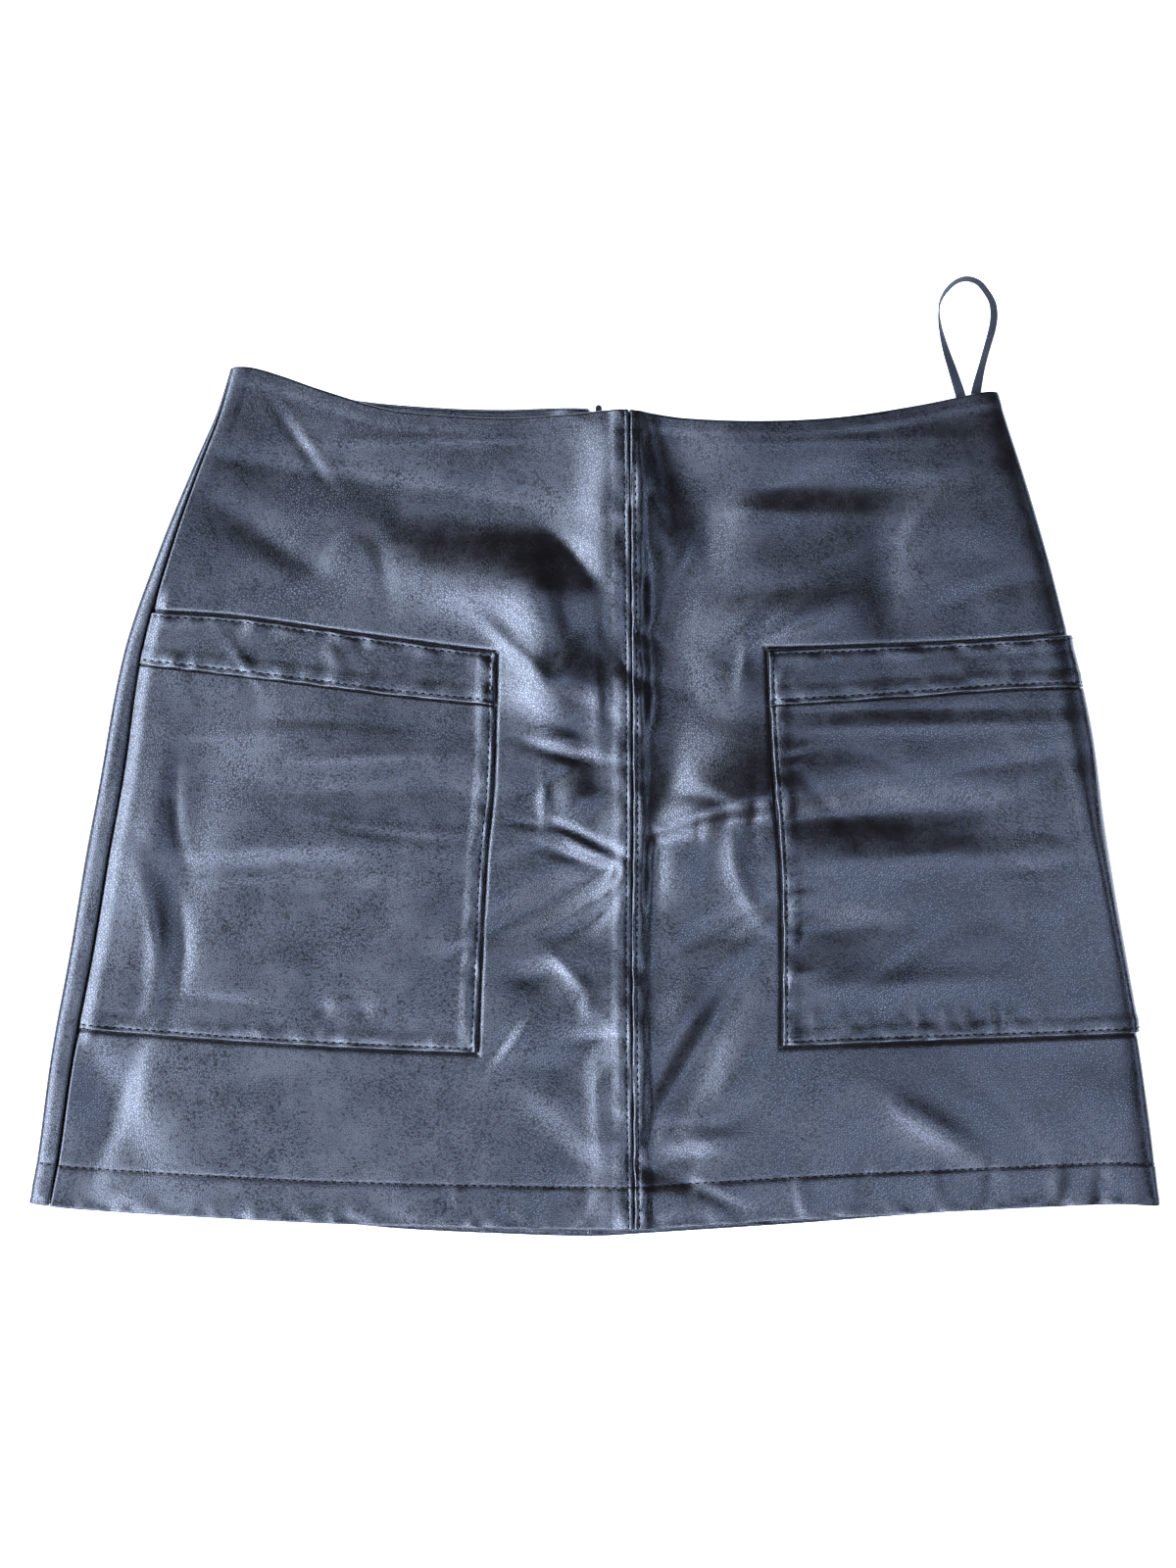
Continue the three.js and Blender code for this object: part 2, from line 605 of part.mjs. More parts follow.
// A round bar along X through the hinge of the pull tab
function hingeBar(middle, radius, half) {
  const geometry = new THREE.CylinderGeometry(radius, radius, 2 * half, barSides);
  return solid(geometry.rotateZ(Math.PI / 2).translate(middle, pull.hinge, pull.height));
}

function zipSlider(middle) {
  const neckTop = pull.hinge - slider.hingeAhead;
  const neckFoot = neckTop - slider.neckLong;
  const head = neckTop + slider.plateAhead;
  const { plateHalf, plateLow, plateHigh, neckHalf, neckLow, neckOverlap } = slider;
  const plate = block(middle - plateHalf, middle + plateHalf, head - slider.long, head, plateLow, plateHigh);
  const neckHigh = plateLow + neckOverlap;
  let shape = plate.add(block(middle - neckHalf, middle + neckHalf, neckFoot, neckTop, neckLow, neckHigh));
  for (const sign of [-1, 1]) {
    const sides = [middle + sign * cheek.inner, middle + sign * cheek.outer].sort((a, b) => a - b);
    shape = shape.add(block(...sides, neckFoot, neckTop + cheek.past, cheek.low, cheek.high));
  }
  shape = shape.add(hingeBar(middle, pull.pin, cheek.inner + pull.pinInCheek));
  add('zip_slider', geometryOf(shape), materials.metal);
}

function zipPullTab(middle) {
  const foot = pull.hinge + (pull.knuckle + pull.bore) / 2;
  const outline = new THREE.Shape();
  outline.moveTo(middle - pull.half, foot);
  outline.lineTo(middle + pull.half, foot);
  outline.lineTo(middle + pull.half, pull.tip - pull.half);
  outline.absarc(middle, pull.tip - pull.half, pull.half, 0, Math.PI, false);
  const hole = new THREE.Path();
  hole.absarc(middle, pullWindow.to, pullWindow.half, 0, Math.PI, false);
  hole.absarc(middle, pullWindow.from, pullWindow.half, Math.PI, 2 * Math.PI, false);
  outline.holes.push(hole);
  const plate = new THREE.ExtrudeGeometry(outline, {
    depth: pull.thick, bevelEnabled: false, curveSegments: pullArcSteps,
  });
  plate.translate(0, 0, pull.height - pull.thick / 2);
  let shape = solid(plate).add(hingeBar(middle, pull.knuckle, pull.half));
  shape = shape.subtract(hingeBar(middle, pull.bore, 2 * pull.half));
  add('zip_pull_tab', geometryOf(shape), materials.metal);
}

// The ribbon follows its route and turns from flat to on edge and on to flat again
function hangerLoop() {
  const route = new THREE.CatmullRomCurve3(loopRows.map((row) => new THREE.Vector3(row.x, row.y, row.z)));
  const lastRow = loopRows.length - 1;
  const turns = curve(loopRows.map((row, i) => ({ at: i / lastRow, turn: row.turn })), 'at', 'turn');
  const geometry = new THREE.BoxGeometry(1, 1, 1, ribbon.steps, 1, 1);
  const position = geometry.getAttribute('position');
  for (let k = 0; k < position.count; k += 1) {
    const t = position.getX(k) + 0.5;
    const turn = turns(t) * degree;
    const ahead = route.getTangent(t);
    const side = new THREE.Vector3(-ahead.y, ahead.x, 0).normalize().multiplyScalar(Math.cos(turn));
    const width = side.add(new THREE.Vector3(0, 0, Math.sin(turn)));
    const depth = ahead.clone().cross(width).normalize();
    const point = route.getPoint(t);
    point.addScaledVector(width, position.getY(k) * ribbon.wide);
    point.addScaledVector(depth, position.getZ(k) * ribbon.thick);
    position.setXYZ(k, point.x, point.y, point.z);
  }
  add('hanger_loop', merged(geometry), materials.grosgrain);
}

const left = frontLeft();
const right = frontRight();
add('front_left', wall(left, onSurface, panelInner), materials.leather);
add('front_right', wall(right, onSurface, panelInner), materials.leather);
add('back_left', wall(backLeft(), onSurface, panelInner), materials.leather);
add('back_right', wall(backRight(), onSurface, panelInner), materials.leather);
pocket('left', left, 0, columnCells.shoulder + columnCells.pocketLeft);
pocket('right', right, columnCells.besideRight, right.points.length - 1);
backFacing('left');
backFacing('right');
zipTapes();
zipSlider(centreBack(pull.hinge));
zipPullTab(centreBack(pull.hinge));
hangerLoop();

export default group;
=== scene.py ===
import math

import bmesh
import bpy
import numpy as np
from mathutils import Matrix, Vector


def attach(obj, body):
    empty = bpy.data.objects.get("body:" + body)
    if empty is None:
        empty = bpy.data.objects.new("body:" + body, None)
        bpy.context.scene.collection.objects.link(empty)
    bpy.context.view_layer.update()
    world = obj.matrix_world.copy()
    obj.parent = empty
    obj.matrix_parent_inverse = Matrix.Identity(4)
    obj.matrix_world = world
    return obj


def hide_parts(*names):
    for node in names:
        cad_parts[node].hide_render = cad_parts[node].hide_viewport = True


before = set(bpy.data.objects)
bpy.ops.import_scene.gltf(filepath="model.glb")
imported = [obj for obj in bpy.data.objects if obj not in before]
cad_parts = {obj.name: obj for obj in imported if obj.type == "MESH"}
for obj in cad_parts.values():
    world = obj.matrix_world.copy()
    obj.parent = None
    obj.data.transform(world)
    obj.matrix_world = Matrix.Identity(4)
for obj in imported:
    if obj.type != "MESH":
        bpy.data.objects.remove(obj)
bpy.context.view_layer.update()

mm = 0.001
body = "skirt"

# The outline, as the solids have it, in millimetres. Side lines are (y, x), waist and hem lines (x, y).
leftEdgeRows = [
    (-217.6, -275.2), (-194.8, -270.9), (-146.2, -264.3), (-93.8, -254.8), (-47.1, -247.1), (-13.8, -240.8),
    (34.3, -232.4), (61.4, -225.6), (104.3, -210.0), (145.0, -193.2), (166.4, -183.8), (189.0, -176.7),
]
rightEdgeRows = [
    (-219.3, 275.2), (-183.3, 271.0), (-136.2, 264.3), (-79.5, 254.3), (-34.3, 246.9), (6.2, 241.9),
    (36.2, 236.0), (61.4, 229.8), (92.9, 221.9), (130.5, 211.0), (168.1, 199.0), (177.1, 196.2),
]
leftInsetRows = [
    (-218, 10.9), (-198, 10.9), (-109, 12.0), (-11, 11.8), (70, 8.3), (135, 4.2), (154, 3.1), (174, 1.6), (190, 1.2),
]
centreFrontRows = [(-230, 19.5), (-120, 18.3), (-14, 18.6), (168, 17.1)]
centreBackRows = [(-234, -1.9), (0, 0.2), (170, 2.4)]
frontWaistRows = [
    (-176.7, 189.0), (-166.2, 188.6), (-152.4, 184.8), (-133.1, 178.1), (-101.9, 168.7), (-84.3, 166.4),
    (-45, 164.0), (-16.7, 165.4), (16.2, 167.8), (44.3, 164.3), (81.9, 162.8), (119.5, 164.6), (157.1, 170.3),
    (191.0, 176.9), (196.2, 177.1),
]
backWaistRows = [
    (-176.7, 189.0), (-150, 182.6), (-130, 176.4), (-111.2, 172.6), (-75, 169.6), (-45, 168.7), (-10, 169.6),
    (8, 168.4), (23, 167.6), (50, 163.6), (80, 161.6), (120, 162.8), (160, 169.4), (196.2, 177.1),
]
frontHemRows = [
    (-275.2, -217.6), (-253.6, -220.5), (-191.4, -224.3), (-123.3, -227.8), (-35.7, -229.8), (18.6, -230.4),
    (58.6, -227.8), (119.5, -224.2), (194.8, -220.8), (255, -218.2), (275.2, -219.3),
]
backHemRows = [
    (-275.2, -217.6), (-253, -219.5), (-191, -223.0), (-123.3, -228.1), (-94.3, -230.7), (-55.2, -232.7),
    (-1.9, -234.3), (25.2, -232.9), (100.5, -228.0), (157, -223.6), (232, -218.9), (275.2, -219.3),
]
pocketRows = {
    "left": {
        "mouth": [(-213.8, 69.8), (-171.9, 66.9), (-113.8, 58.6), (-47.6, 49.8), (17, 44)],
        "bandSeam": [(-218.6, 43.8), (-171.9, 38.6), (-94.3, 28.8), (-51.9, 24.5), (17, 19)],
        "foot": [(-249.7, -132.9), (-171.9, -139.0), (-94.3, -143.3), (-56.9, -144.6), (17, -146)],
        "inner": [
            (-230, -60), (-144.3, -56.9), (-81.9, -54.3), (-43.3, -52.0), (-13.8, -49.2), (50, -47.6), (167, -44),
        ],
    },
    "right": {
        "mouth": [(18, 49), (84.3, 51.4), (157.1, 54.1), (194.8, 56.0), (233.8, 58.8)],
        "bandSeam": [(18, 21), (85.5, 24.3), (157.1, 28.7), (194.8, 31.5), (238.1, 32.9)],
        "foot": [(19, -144), (91.4, -141.4), (138.1, -139.5), (213.6, -136.7), (264.3, -134.6)],
        "inner": [(-225, 93), (-141.4, 91.4), (-79.5, 91.4), (-41.9, 90.0), (-13.8, 87.3), (51.4, 84.3), (163, 80)],
    },
}

# Folds that the solids have too: x, y, turn in degrees, half length, half width, rise
largeFolds = [
    (-107.6, 131.4, -8, 65, 11, -0.8), (-55.2, 110.0, 0, 35, 12, -1.5), (3.3, 114.8, 90, 45, 9, 1.2),
    (-24.3, 38.6, -75, 35, 11, 1.4), (-21.9, -71.0, 34, 32, 11, -1.5), (34.3, 57.6, 91, 110, 11, -1.6),
    (28.0, -109.0, 88, 60, 11, -1.0), (41.0, 91.0, 65, 32, 11, -1.2), (116.0, 129.0, -3, 50, 12, -1.2),
    (142.0, 88.6, 85, 28, 15, -1.0), (94.8, 70.0, 18, 26, 11, 1.2), (50.5, -152.0, 62, 48, 11, -1.2),
    (147.0, -28.0, -3, 42, 12, -1.3), (123.0, -85.0, 10, 22, 11, -0.9), (-131.0, 5.0, -5, 70, 11, 0.7),
    (-146.0, -42.0, -5, 60, 12, 0.6), (-217.0, -57.0, 80, 55, 10, 0.8), (-198.0, -57.0, 80, 50, 11, -0.7),
    (-236.0, -166.0, -62, 30, 11, -1.3),
]

# Finer creases of the front in the same columns. Some have a bend and a steeper side too.
creases = [
    # left of the seam, from the waist down
    (19, 134, 94, 36, 16.2, 3.20, 0, 0.35), (-51, 115, -4, 37, 9.0, -1.68, -1, 0),
    (-9, 97, -49, 23, 5.2, -1.22, -2, 0), (5, 67, -85, 17, 3.8, -0.53), (-44, 83, -4, 46, 19.0, 5.76, -2, 0.1),
    (-37, 50, -44, 21, 3.8, 0.97), (-17, 59, -64, 27, 14.3, 2.82), (2, 24, 92, 18, 3.3, 0.93, 0, 0.2),
    (-13, 0, -13, 20, 2.9, -1.33, 1, 0), (-16, 8, -8, 15, 3.3, 0.58), (-23, 36, -3, 23, 16.2, 3.20, 0, 0.3),
    (-9, -20, 0, 12, 10.0, 1.74), (-24, -22, 90, 13, 2.4, 0.69), (-27, -34, -8, 12, 2.1, -0.75),
    (-6, -39, -25, 21, 2.4, -1.00), (-2, -45, -28, 16, 2.1, 0.80), (-10, -50, -21, 16, 2.6, -0.91),
    (-22, -71, -152, 42, 5.7, -1.79), (-3, -73, -148, 25, 3.8, 1.11, -4, 0),
    (2, -79, -141, 22, 3.3, -0.78, -4, 0), (-25, -107, 0, 17, 7.1, -1.83), (-11, -106, -48, 13, 2.9, 0.80),
    (-2, -123, 0, 4, 4.3, 0.80), (2, -138, 4, 14, 3.8, -1.06), (2, -173, 93, 24, 4.3, 0.85),
    (-45, -140, -127, 14, 2.9, -0.60), (-40, -142, -127, 14, 2.9, 0.50),
    # right of the seam, from the waist down
    (20, 45, 89, 42, 11.4, 2.26, 0, 0.45), (30, 122, 108, 26, 7.6, 1.77, 0, 0.45),
    (48, 129, 110, 35, 11.4, -4.52, 2, -0.5), (43, 82, -114, 25, 8.6, -4.19, -1, 0.45),
    (39, 29, 90, 38, 11.4, -4.78, 0, -0.5), (57, 40, 4, 14, 8.6, 1.00), (94, 62, 20, 19, 5.7, 0.80, 0, 0.4),
    (73, 43, 84, 14, 3.8, 0.89), (60, -24, 12, 41, 11.4, 4.78, -4, 0.5), (33, -36, -7, 4, 2.4, 0.33),
    (55, -37, 5, 12, 2.9, 0.47), (51, -40, 89, 11, 1.9, -0.40), (71, -60, 108, 23, 4.8, 1.00, -4, 0),
    (78, -30, 88, 18, 2.9, -0.53), (65, -83, 29, 23, 6.7, -2.48), (49, -147, -120, 45, 8.1, -2.54, 2, 0.3),
    (30, -61, 88, 29, 4.8, -1.99), (36, -177, 69, 15, 2.9, 0.73), (42, -197, 6, 15, 6.7, -2.64),
    # above the pockets
    (-67, 154, 1, 74, 2.4, 0.39), (-67, 149, 1, 74, 2.4, -0.22), (102, 153, 1, 77, 2.9, 0.30),
    (-142, 150, -55, 19, 2.4, -0.55), (-137, 152, -55, 18, 1.9, 0.18), (-108, 133, -9, 78, 3.8, -0.62),
    (-155, 104, -33, 33, 7.6, -1.06), (141, 89, 94, 33, 9.5, -1.33), (111, 130, 1, 55, 4.3, -0.60),
    (102, 119, -1, 44, 4.8, 0.55), (76, 80, 3, 36, 5.7, -0.66),
    # left pocket and its band
    (-170, 45, -53, 12, 1.7, 0.50), (-126, 48, -60, 12, 2.9, 0.40), (-167, 10, 2, 41, 2.4, 0.33, 2, 0),
    (-115, 0, 2, 63, 2.4, 0.33, -2, 0), (-172, -12, -4, 30, 2.4, -0.28), (-96, -35, -5, 41, 1.9, 0.27, 2, 0),
    (-93, -40, -7, 33, 1.9, -0.27, 2, 0), (-134, 17, -4, 52, 2.9, -0.27), (-170, -59, 6, 28, 2.9, 0.27),
    (-112, -65, 6, 39, 3.3, -0.31, 2, 0), (-186, -119, -4, 25, 4.3, -0.50), (-136, -19, 2, 66, 4.8, -0.50),
    (-150, -44, 3, 71, 5.7, 0.53), (-212, -91, 92, 26, 4.8, 1.33, 3, 0), (-203, -28, 94, 22, 3.3, -0.85, -2, 0),
    (-199, -90, 93, 22, 3.8, -0.89, 3, 0), (-131, -123, 0, 4, 3.8, -0.62), (-112, -124, 7, 4, 3.8, -0.62),
    (-64, -88, 16, 10, 6.7, 0.78),
    # right pocket and its band
    (161, 15, 1, 74, 3.3, 0.50), (164, 22, 1, 71, 2.4, -0.22), (138, -28, 3, 49, 8.1, -2.45, 0, 0.2),
    (121, -83, 3, 22, 6.7, -1.09), (159, -49, 3, 66, 6.7, 0.78), (202, -4, 8, 39, 5.7, -0.60),
    (147, -111, 3, 47, 6.7, 0.70), (244, -48, -77, 77, 4.8, 1.11), (97, 3, 20, 6, 1.9, 0.49),
    (97, -4, 18, 5, 1.9, 0.40), (99, -59, 13, 5, 2.1, 0.50), (99, -68, 5, 7, 1.9, 0.53),
    (99, -79, 11, 6, 2.1, 0.65), (98, -88, 8, 4, 1.9, 0.35), (100, -106, 14, 7, 2.4, 0.61),
    (100, -118, 6, 6, 1.9, 0.35), (108, -129, 93, 5, 1.9, 0.44), (121, -129, 86, 4, 2.1, 0.40),
    (133, -129, 99, 5, 1.9, 0.44), (149, -129, 86, 4, 2.1, 0.45), (158, -128, 98, 6, 1.9, 0.53),
    (171, -127, 87, 5, 1.9, 0.53), (181, -128, 98, 4, 1.9, 0.40), (194, -127, 87, 5, 2.1, 0.50),
    (202, -127, 98, 4, 1.9, 0.35), (217, -126, 99, 4, 1.9, 0.31),
    # hem
    (165, -180, 148, 31, 7.6, 1.42), (26, -211, 86, 8, 2.9, 0.53), (101, -213, 97, 11, 3.8, 0.71),
    (225, -207, 83, 11, 3.8, 0.80), (246, -207, 84, 11, 2.9, -0.53), (-66, -213, 96, 10, 3.8, 0.44),
    (-233, -172, 71, 33, 8.1, -1.88, 0, 0.4), (46, -211, 84, 11, 3.3, -0.54), (131, -208, 83, 10, 2.9, -0.47),
    (165, -207, 98, 10, 3.3, 0.47), (193, -206, 84, 10, 2.9, -0.47), (-4, -216, 84, 11, 2.9, -0.47),
    (-23, -216, 98, 8, 3.3, 0.39),
]

# How the cloth is laid: heights, rolls, thickness and seams, in millimetres
lay = {
    "restHeight": 5.4, "rollPower": 2.6, "leftRise": 1.3, "leftReach": 45, "rightRise": 2.5, "rightReach": 70,
    "endReach": 50, "endShare": 0.4, "rollMiddleLeft": 0.45, "rollMiddleRight": 0.42,
    "leftTop": 6.5, "leftBelow": 3.5, "rightTop": 16, "rightBelow": 4.5, "rightSeamInset": 17, "shoulder": 7,
    "leather": 1.0, "hemDepth": 20.5, "seamGap": 0.3, "layerGap": 0.3, "pocketLeather": 1.1, "bandLeather": 1.6,
    "pocketRamp": 12, "bagSpare": 0.3, "bandSpare": 0.35, "underFrom": 4, "underRamp": 16,
}

# One stitch, in millimetres
stitchLook = {"pitch": 3.8, "long": 2.5, "wide": 0.9, "high": 0.56, "sunk": 0.02}


def smoothCurve(rows):  # a smooth line through (place, value) pairs, straight on past its ends
    place = np.array([row[0] for row in rows], float)
    value = np.array([row[1] for row in rows], float)
    slope = np.empty_like(value)
    slope[1:-1] = (value[2:] - value[:-2]) / (place[2:] - place[:-2])
    slope[0] = (value[1] - value[0]) / (place[1] - place[0])
    slope[-1] = (value[-1] - value[-2]) / (place[-1] - place[-2])

    def at(where):
        where = np.asarray(where, float)
        i = np.clip(np.searchsorted(place, where) - 1, 0, len(place) - 2)
        step = place[i + 1] - place[i]
        t = (where - place[i]) / step
        near = value[i] * (1 + 2 * t) * (1 - t) ** 2 + value[i + 1] * t * t * (3 - 2 * t)
        near = near + step * t * (1 - t) * (slope[i] * (1 - t) - slope[i + 1] * t)
        before = value[0] + slope[0] * (where - place[0])
        after = value[-1] + slope[-1] * (where - place[-1])
        return np.where(where < place[0], before, np.where(where > place[-1], after, near))

    return at


def shifted(line, by):
    return lambda where: line(where) + by


def mix(a, b, share):
    return a + (b - a) * share


def smoothStep(t):
    c = np.clip(t, 0, 1)
    return c * c * (3 - 2 * c)


def unevenness(seed, wide, high, turn=0):  # soft seeded waves with a mean size of wide by high millimetres
    values = np.random.default_rng(seed).normal(0, 1, (64, 64))
    c, s = math.cos(math.radians(turn)), math.sin(math.radians(turn))

    def weights(t):
        third = (-3 * t**3 + 3 * t**2 + 3 * t + 1) / 6
        return (1 - t) ** 3 / 6, (3 * t**3 - 6 * t**2 + 4) / 6, third, t**3 / 6

    def at(x, y):
        u = (x * c + y * s) / wide + 320
        v = (y * c - x * s) / high + 320
        i, j = np.floor(u).astype(int), np.floor(v).astype(int)
        across, up = weights(u - i), weights(v - j)
        total = 0
        for a in range(4):
            for b in range(4):
                total = total + across[a] * up[b] * values[(i + a) % 64, (j + b) % 64]
        return 2 * total

    return at


leftEdge, rightEdge = smoothCurve(leftEdgeRows), smoothCurve(rightEdgeRows)
leftInset = smoothCurve(leftInsetRows)
centreFront, centreBack = smoothCurve(centreFrontRows), smoothCurve(centreBackRows)
frontWaist, backWaist = smoothCurve(frontWaistRows), smoothCurve(backWaistRows)
frontHem, backHem = smoothCurve(frontHemRows), smoothCurve(backHemRows)
pocketLines = {}
for side, lines in pocketRows.items():
    pocketLines[side] = {name: smoothCurve(rows) for name, rows in lines.items()}


def leftSeam(y):
    return leftEdge(y) + leftInset(y)


crestRound = 0.07  # how blunt the crest of a crease is


def foldSum(table, x, y, power=2.0):
    total = np.zeros_like(x)
    for foldX, foldY, turn, long, wide, rise, *shape in table:
        bend, lean = shape if shape else (0, 0)
        c, s = math.cos(math.radians(turn)), math.sin(math.radians(turn))
        along = ((x - foldX) * c + (y - foldY) * s) / long
        across = ((y - foldY) * c - (x - foldX) * s - bend * along**2) / wide
        across = across / (1 + lean * np.tanh(across))
        total += rise * np.exp(-(along**2) - (across**2 + crestRound) ** (power / 2))
    return total


# Small uneven waves all over the cloth, in millimetres
wave = {
    "large": 1.5, "fine": 1.4, "deepest": 4.0, "broad": 0.5, "middle": 0.4, "puffs": 1.3, "puffSize": 27,
    "pucker": 0.32, "ridge": 0.8, "puffShift": 9, "puffFoot": 0.45, "puffTop": 0.5, "creaseSides": 1.6,
}
broadWave = unevenness(11, 46, 30, 8)
middleWave = unevenness(12, 17, 12, -12)
puffWave = unevenness(13, wave["puffSize"] * 1.3, wave["puffSize"] * 0.8, 10)
puffShift = unevenness(14, 40, 40)
seamPucker = unevenness(15, 4.5, 4.5)


# Where the cloth is most creased: places and reaches in millimetres, and shares
creased = {"middle": 22, "reach": 62, "aboveFrom": 55, "aboveRamp": 40, "aboveShare": 0.3, "least": 0.24}
# The turned-in leather along the centre seam, in millimetres
seamRidge = {"leftReach": 20, "leftRamp": 16, "rightReach": 8.3, "rightRamp": 3.4, "uneven": 0.35}


def nearCentre(x, y):  # how creased the cloth is: most beside the centre seam and above the pockets
    beside = np.exp(-(((x - creased["middle"]) / creased["reach"]) ** 2))
    above = smoothStep((y - creased["aboveFrom"]) / creased["aboveRamp"])
    return np.clip(np.maximum(beside, creased["aboveShare"] * above), creased["least"], 1)


ridgeUnevenness = unevenness(17, 30, 24)


def centreRidge(x, y):  # the turned-in leather along the centre seam, with a steeper right side
    past = x - centreFront(y)
    left = smoothStep((past + seamRidge["leftReach"]) / seamRidge["leftRamp"])
    right = smoothStep((seamRidge["rightReach"] - past) / seamRidge["rightRamp"])
    return wave["ridge"] * (left * right) * (1 + seamRidge["uneven"] * ridgeUnevenness(y * 0 + 3, y))


def crest(x, y):  # height of the front's outer face without the rolls at the sides
    fromEnd = np.minimum(y - frontHem(x), frontWaist(x) - y)
    fade = mix(lay["endShare"], 1, smoothStep(fromEnd / lay["endReach"]))
    left = lay["leftRise"] * smoothStep(1 - (x - leftEdge(y)) / lay["leftReach"])
    right = lay["rightRise"] * smoothStep(1 - (rightEdge(y) - x) / lay["rightReach"])
    folds = foldSum(largeFolds, x, y) * wave["large"]
    folds = folds + foldSum(creases, x, y, wave["creaseSides"]) * wave["fine"]
    amount = nearCentre(x, y)
    far = wave["puffShift"]
    puffs = puffWave(x + far * puffShift(x, y), y + far * puffShift(y, x))
    puffs = np.abs(puffs) - wave["puffFoot"]
    folds = folds + wave["broad"] * broadWave(x, y) + amount * wave["middle"] * middleWave(x, y)
    folds = folds + amount * wave["puffs"] * np.minimum(puffs, wave["puffTop"]) + centreRidge(x, y)
    deepest = wave["deepest"]
    folds = np.where(folds < 0, -deepest * (1 - np.exp(np.minimum(folds, 0) / deepest)), folds)
    return lay["restHeight"] + (left + right) * fade + folds


def besidePocket(side, x, y):
    lines = pocketLines[side]
    over = smoothStep(1 - (y - lines["mouth"](x)) / lay["pocketRamp"])
    under = smoothStep(1 - (lines["foot"](x) - y) / lay["pocketRamp"])
    return over * under


def pocketThickness(side, x, y):
    band = smoothStep((y - pocketLines[side]["bandSeam"](x) + lay["pocketRamp"] / 2) / lay["pocketRamp"])
    return besidePocket(side, x, y) * (lay["layerGap"] + mix(lay["pocketLeather"], lay["bandLeather"], band))


def rolled(high, middle, across, reach):
    t = np.clip(across / reach, 0, 1)
    power = lay["rollPower"]
    return middle + (high - middle) * (1 - (1 - t) ** power) ** (1 / power)


def topHeight(x, y):
    high = crest(x, y)
    onLeft = rolled(high, lay["rollMiddleLeft"] * high, x - leftEdge(y), lay["leftTop"])
    return rolled(onLeft, lay["rollMiddleRight"] * high, rightEdge(y) - x, lay["rightTop"])


def frontHeight(x, y):  # the front sinks where the pocket is caught in the left seam
    nearSeam = 1 - smoothStep((x - leftSeam(y)) / lay["shoulder"])
    return topHeight(x, y) - pocketThickness("left", x, y) * nearSeam


def rightBelowHeight(x, y):
    edge = rightEdge(y)
    lift = pocketThickness("right", edge, y)
    middle = lay["rollMiddleRight"] * crest(edge, y)
    t = np.clip((edge - x) / lay["rightBelow"], 0, 1)
    return lift + (middle - lift) * (1 - np.sqrt(1 - (1 - t) ** 2))


def leftBelowHeight(x, y):
    edge = leftEdge(y)
    t = np.clip((x - edge) / lay["leftBelow"], 0, 1)
    return lay["rollMiddleLeft"] * crest(edge, y) * (1 - np.sqrt(1 - (1 - t) ** 2))


underWave = unevenness(16, 34, 26, 20)
backHollows = {"rise": 0.5, "less": 0.25, "most": 0.6, "fromEdge": 5, "ramp": 20}


def backRise(x, y):  # shallow hollows where the back stands a little off the surface
    return np.clip(backHollows["rise"] * underWave(x, y) - backHollows["less"], 0, backHollows["most"])


# Offsets of the net's lines beside an edge or seam, in millimetres
beside = np.array([0, 0.12, 0.35, 0.7, 1.1, 1.6, 2.1, 2.5, 2.9, 3.5, 4.2, 5.0])
besideWidth = 5.0


def evenShares(length, cell):
    return np.linspace(0, 1, max(2, round(length / cell)) + 1)[1:]


def runs(*stops):  # each stop is a line and how the net gets there: "away", "towards" or (length, cell)
    made = []
    for (start, _), (line, way) in zip(stops[:-1], stops[1:]):
        if way == "away":
            shares = beside[1:] / besideWidth
        elif way == "towards":
            shares = 1 - beside[::-1][1:] / besideWidth
        else:
            shares = evenShares(*way)
        if not made:
            shares = np.concatenate([[0], shares])
        made.append((start, line, shares))
    return made


def lineNet(columnRuns, rowRuns):
    x = np.zeros((sum(len(run[2]) for run in columnRuns), sum(len(run[2]) for run in rowRuns)))
    y = np.zeros_like(x)
    for _ in range(12):
        first = 0
        for start, end, shares in columnRuns:
            part = slice(first, first + len(shares))
            x[part] = mix(start(y[part]), end(y[part]), shares[:, None])
            first += len(shares)
        first = 0
        for start, end, shares in rowRuns:
            part = slice(first, first + len(shares))
            y[:, part] = mix(start(x[:, part]), end(x[:, part]), shares)
            first += len(shares)
    return x, y


def outward(points):
    normals = np.cross(np.gradient(points, axis=0), np.gradient(points, axis=1))
    return normals / np.linalg.norm(normals, axis=2, keepdims=True)


def stacked(x, y, z):
    return np.stack([x, y, z], axis=2)


def levelAt(line, edge):
    y = 0.0
    for _ in range(12):
        y = float(line(edge(y)))
    return lambda x: np.full_like(np.asarray(x, float), y)


cell = 1.7


def rowStops(side, below=False):
    lines = pocketLines[side]
    edge = leftEdge if side == "left" else rightEdge
    hem, waist = (backHem, backWaist) if below else (frontHem, frontWaist)
    foot, bandSeam, mouth = lines["foot"], lines["bandSeam"], lines["mouth"]
    if below:
        foot, bandSeam, mouth = (levelAt(line, edge) for line in (foot, bandSeam, mouth))
    return hem, foot, bandSeam, mouth, waist


def panelRows(side, below=False):
    hem, foot, bandSeam, mouth, waist = rowStops(side, below)
    w = besideWidth
    return runs(
        (hem, None), (shifted(hem, w), "away"), (shifted(hem, lay["hemDepth"] - 1.6), (14, cell)),
        (shifted(hem, lay["hemDepth"] + 1.6), (3.2, 0.8)), (shifted(foot, -w), (60, cell)), (foot, "towards"),
        (bandSeam, (170, cell)), (mouth, (26, cell)), (shifted(mouth, w), "away"),
        (shifted(waist, -w), (100, cell)), (waist, "towards"),
    )


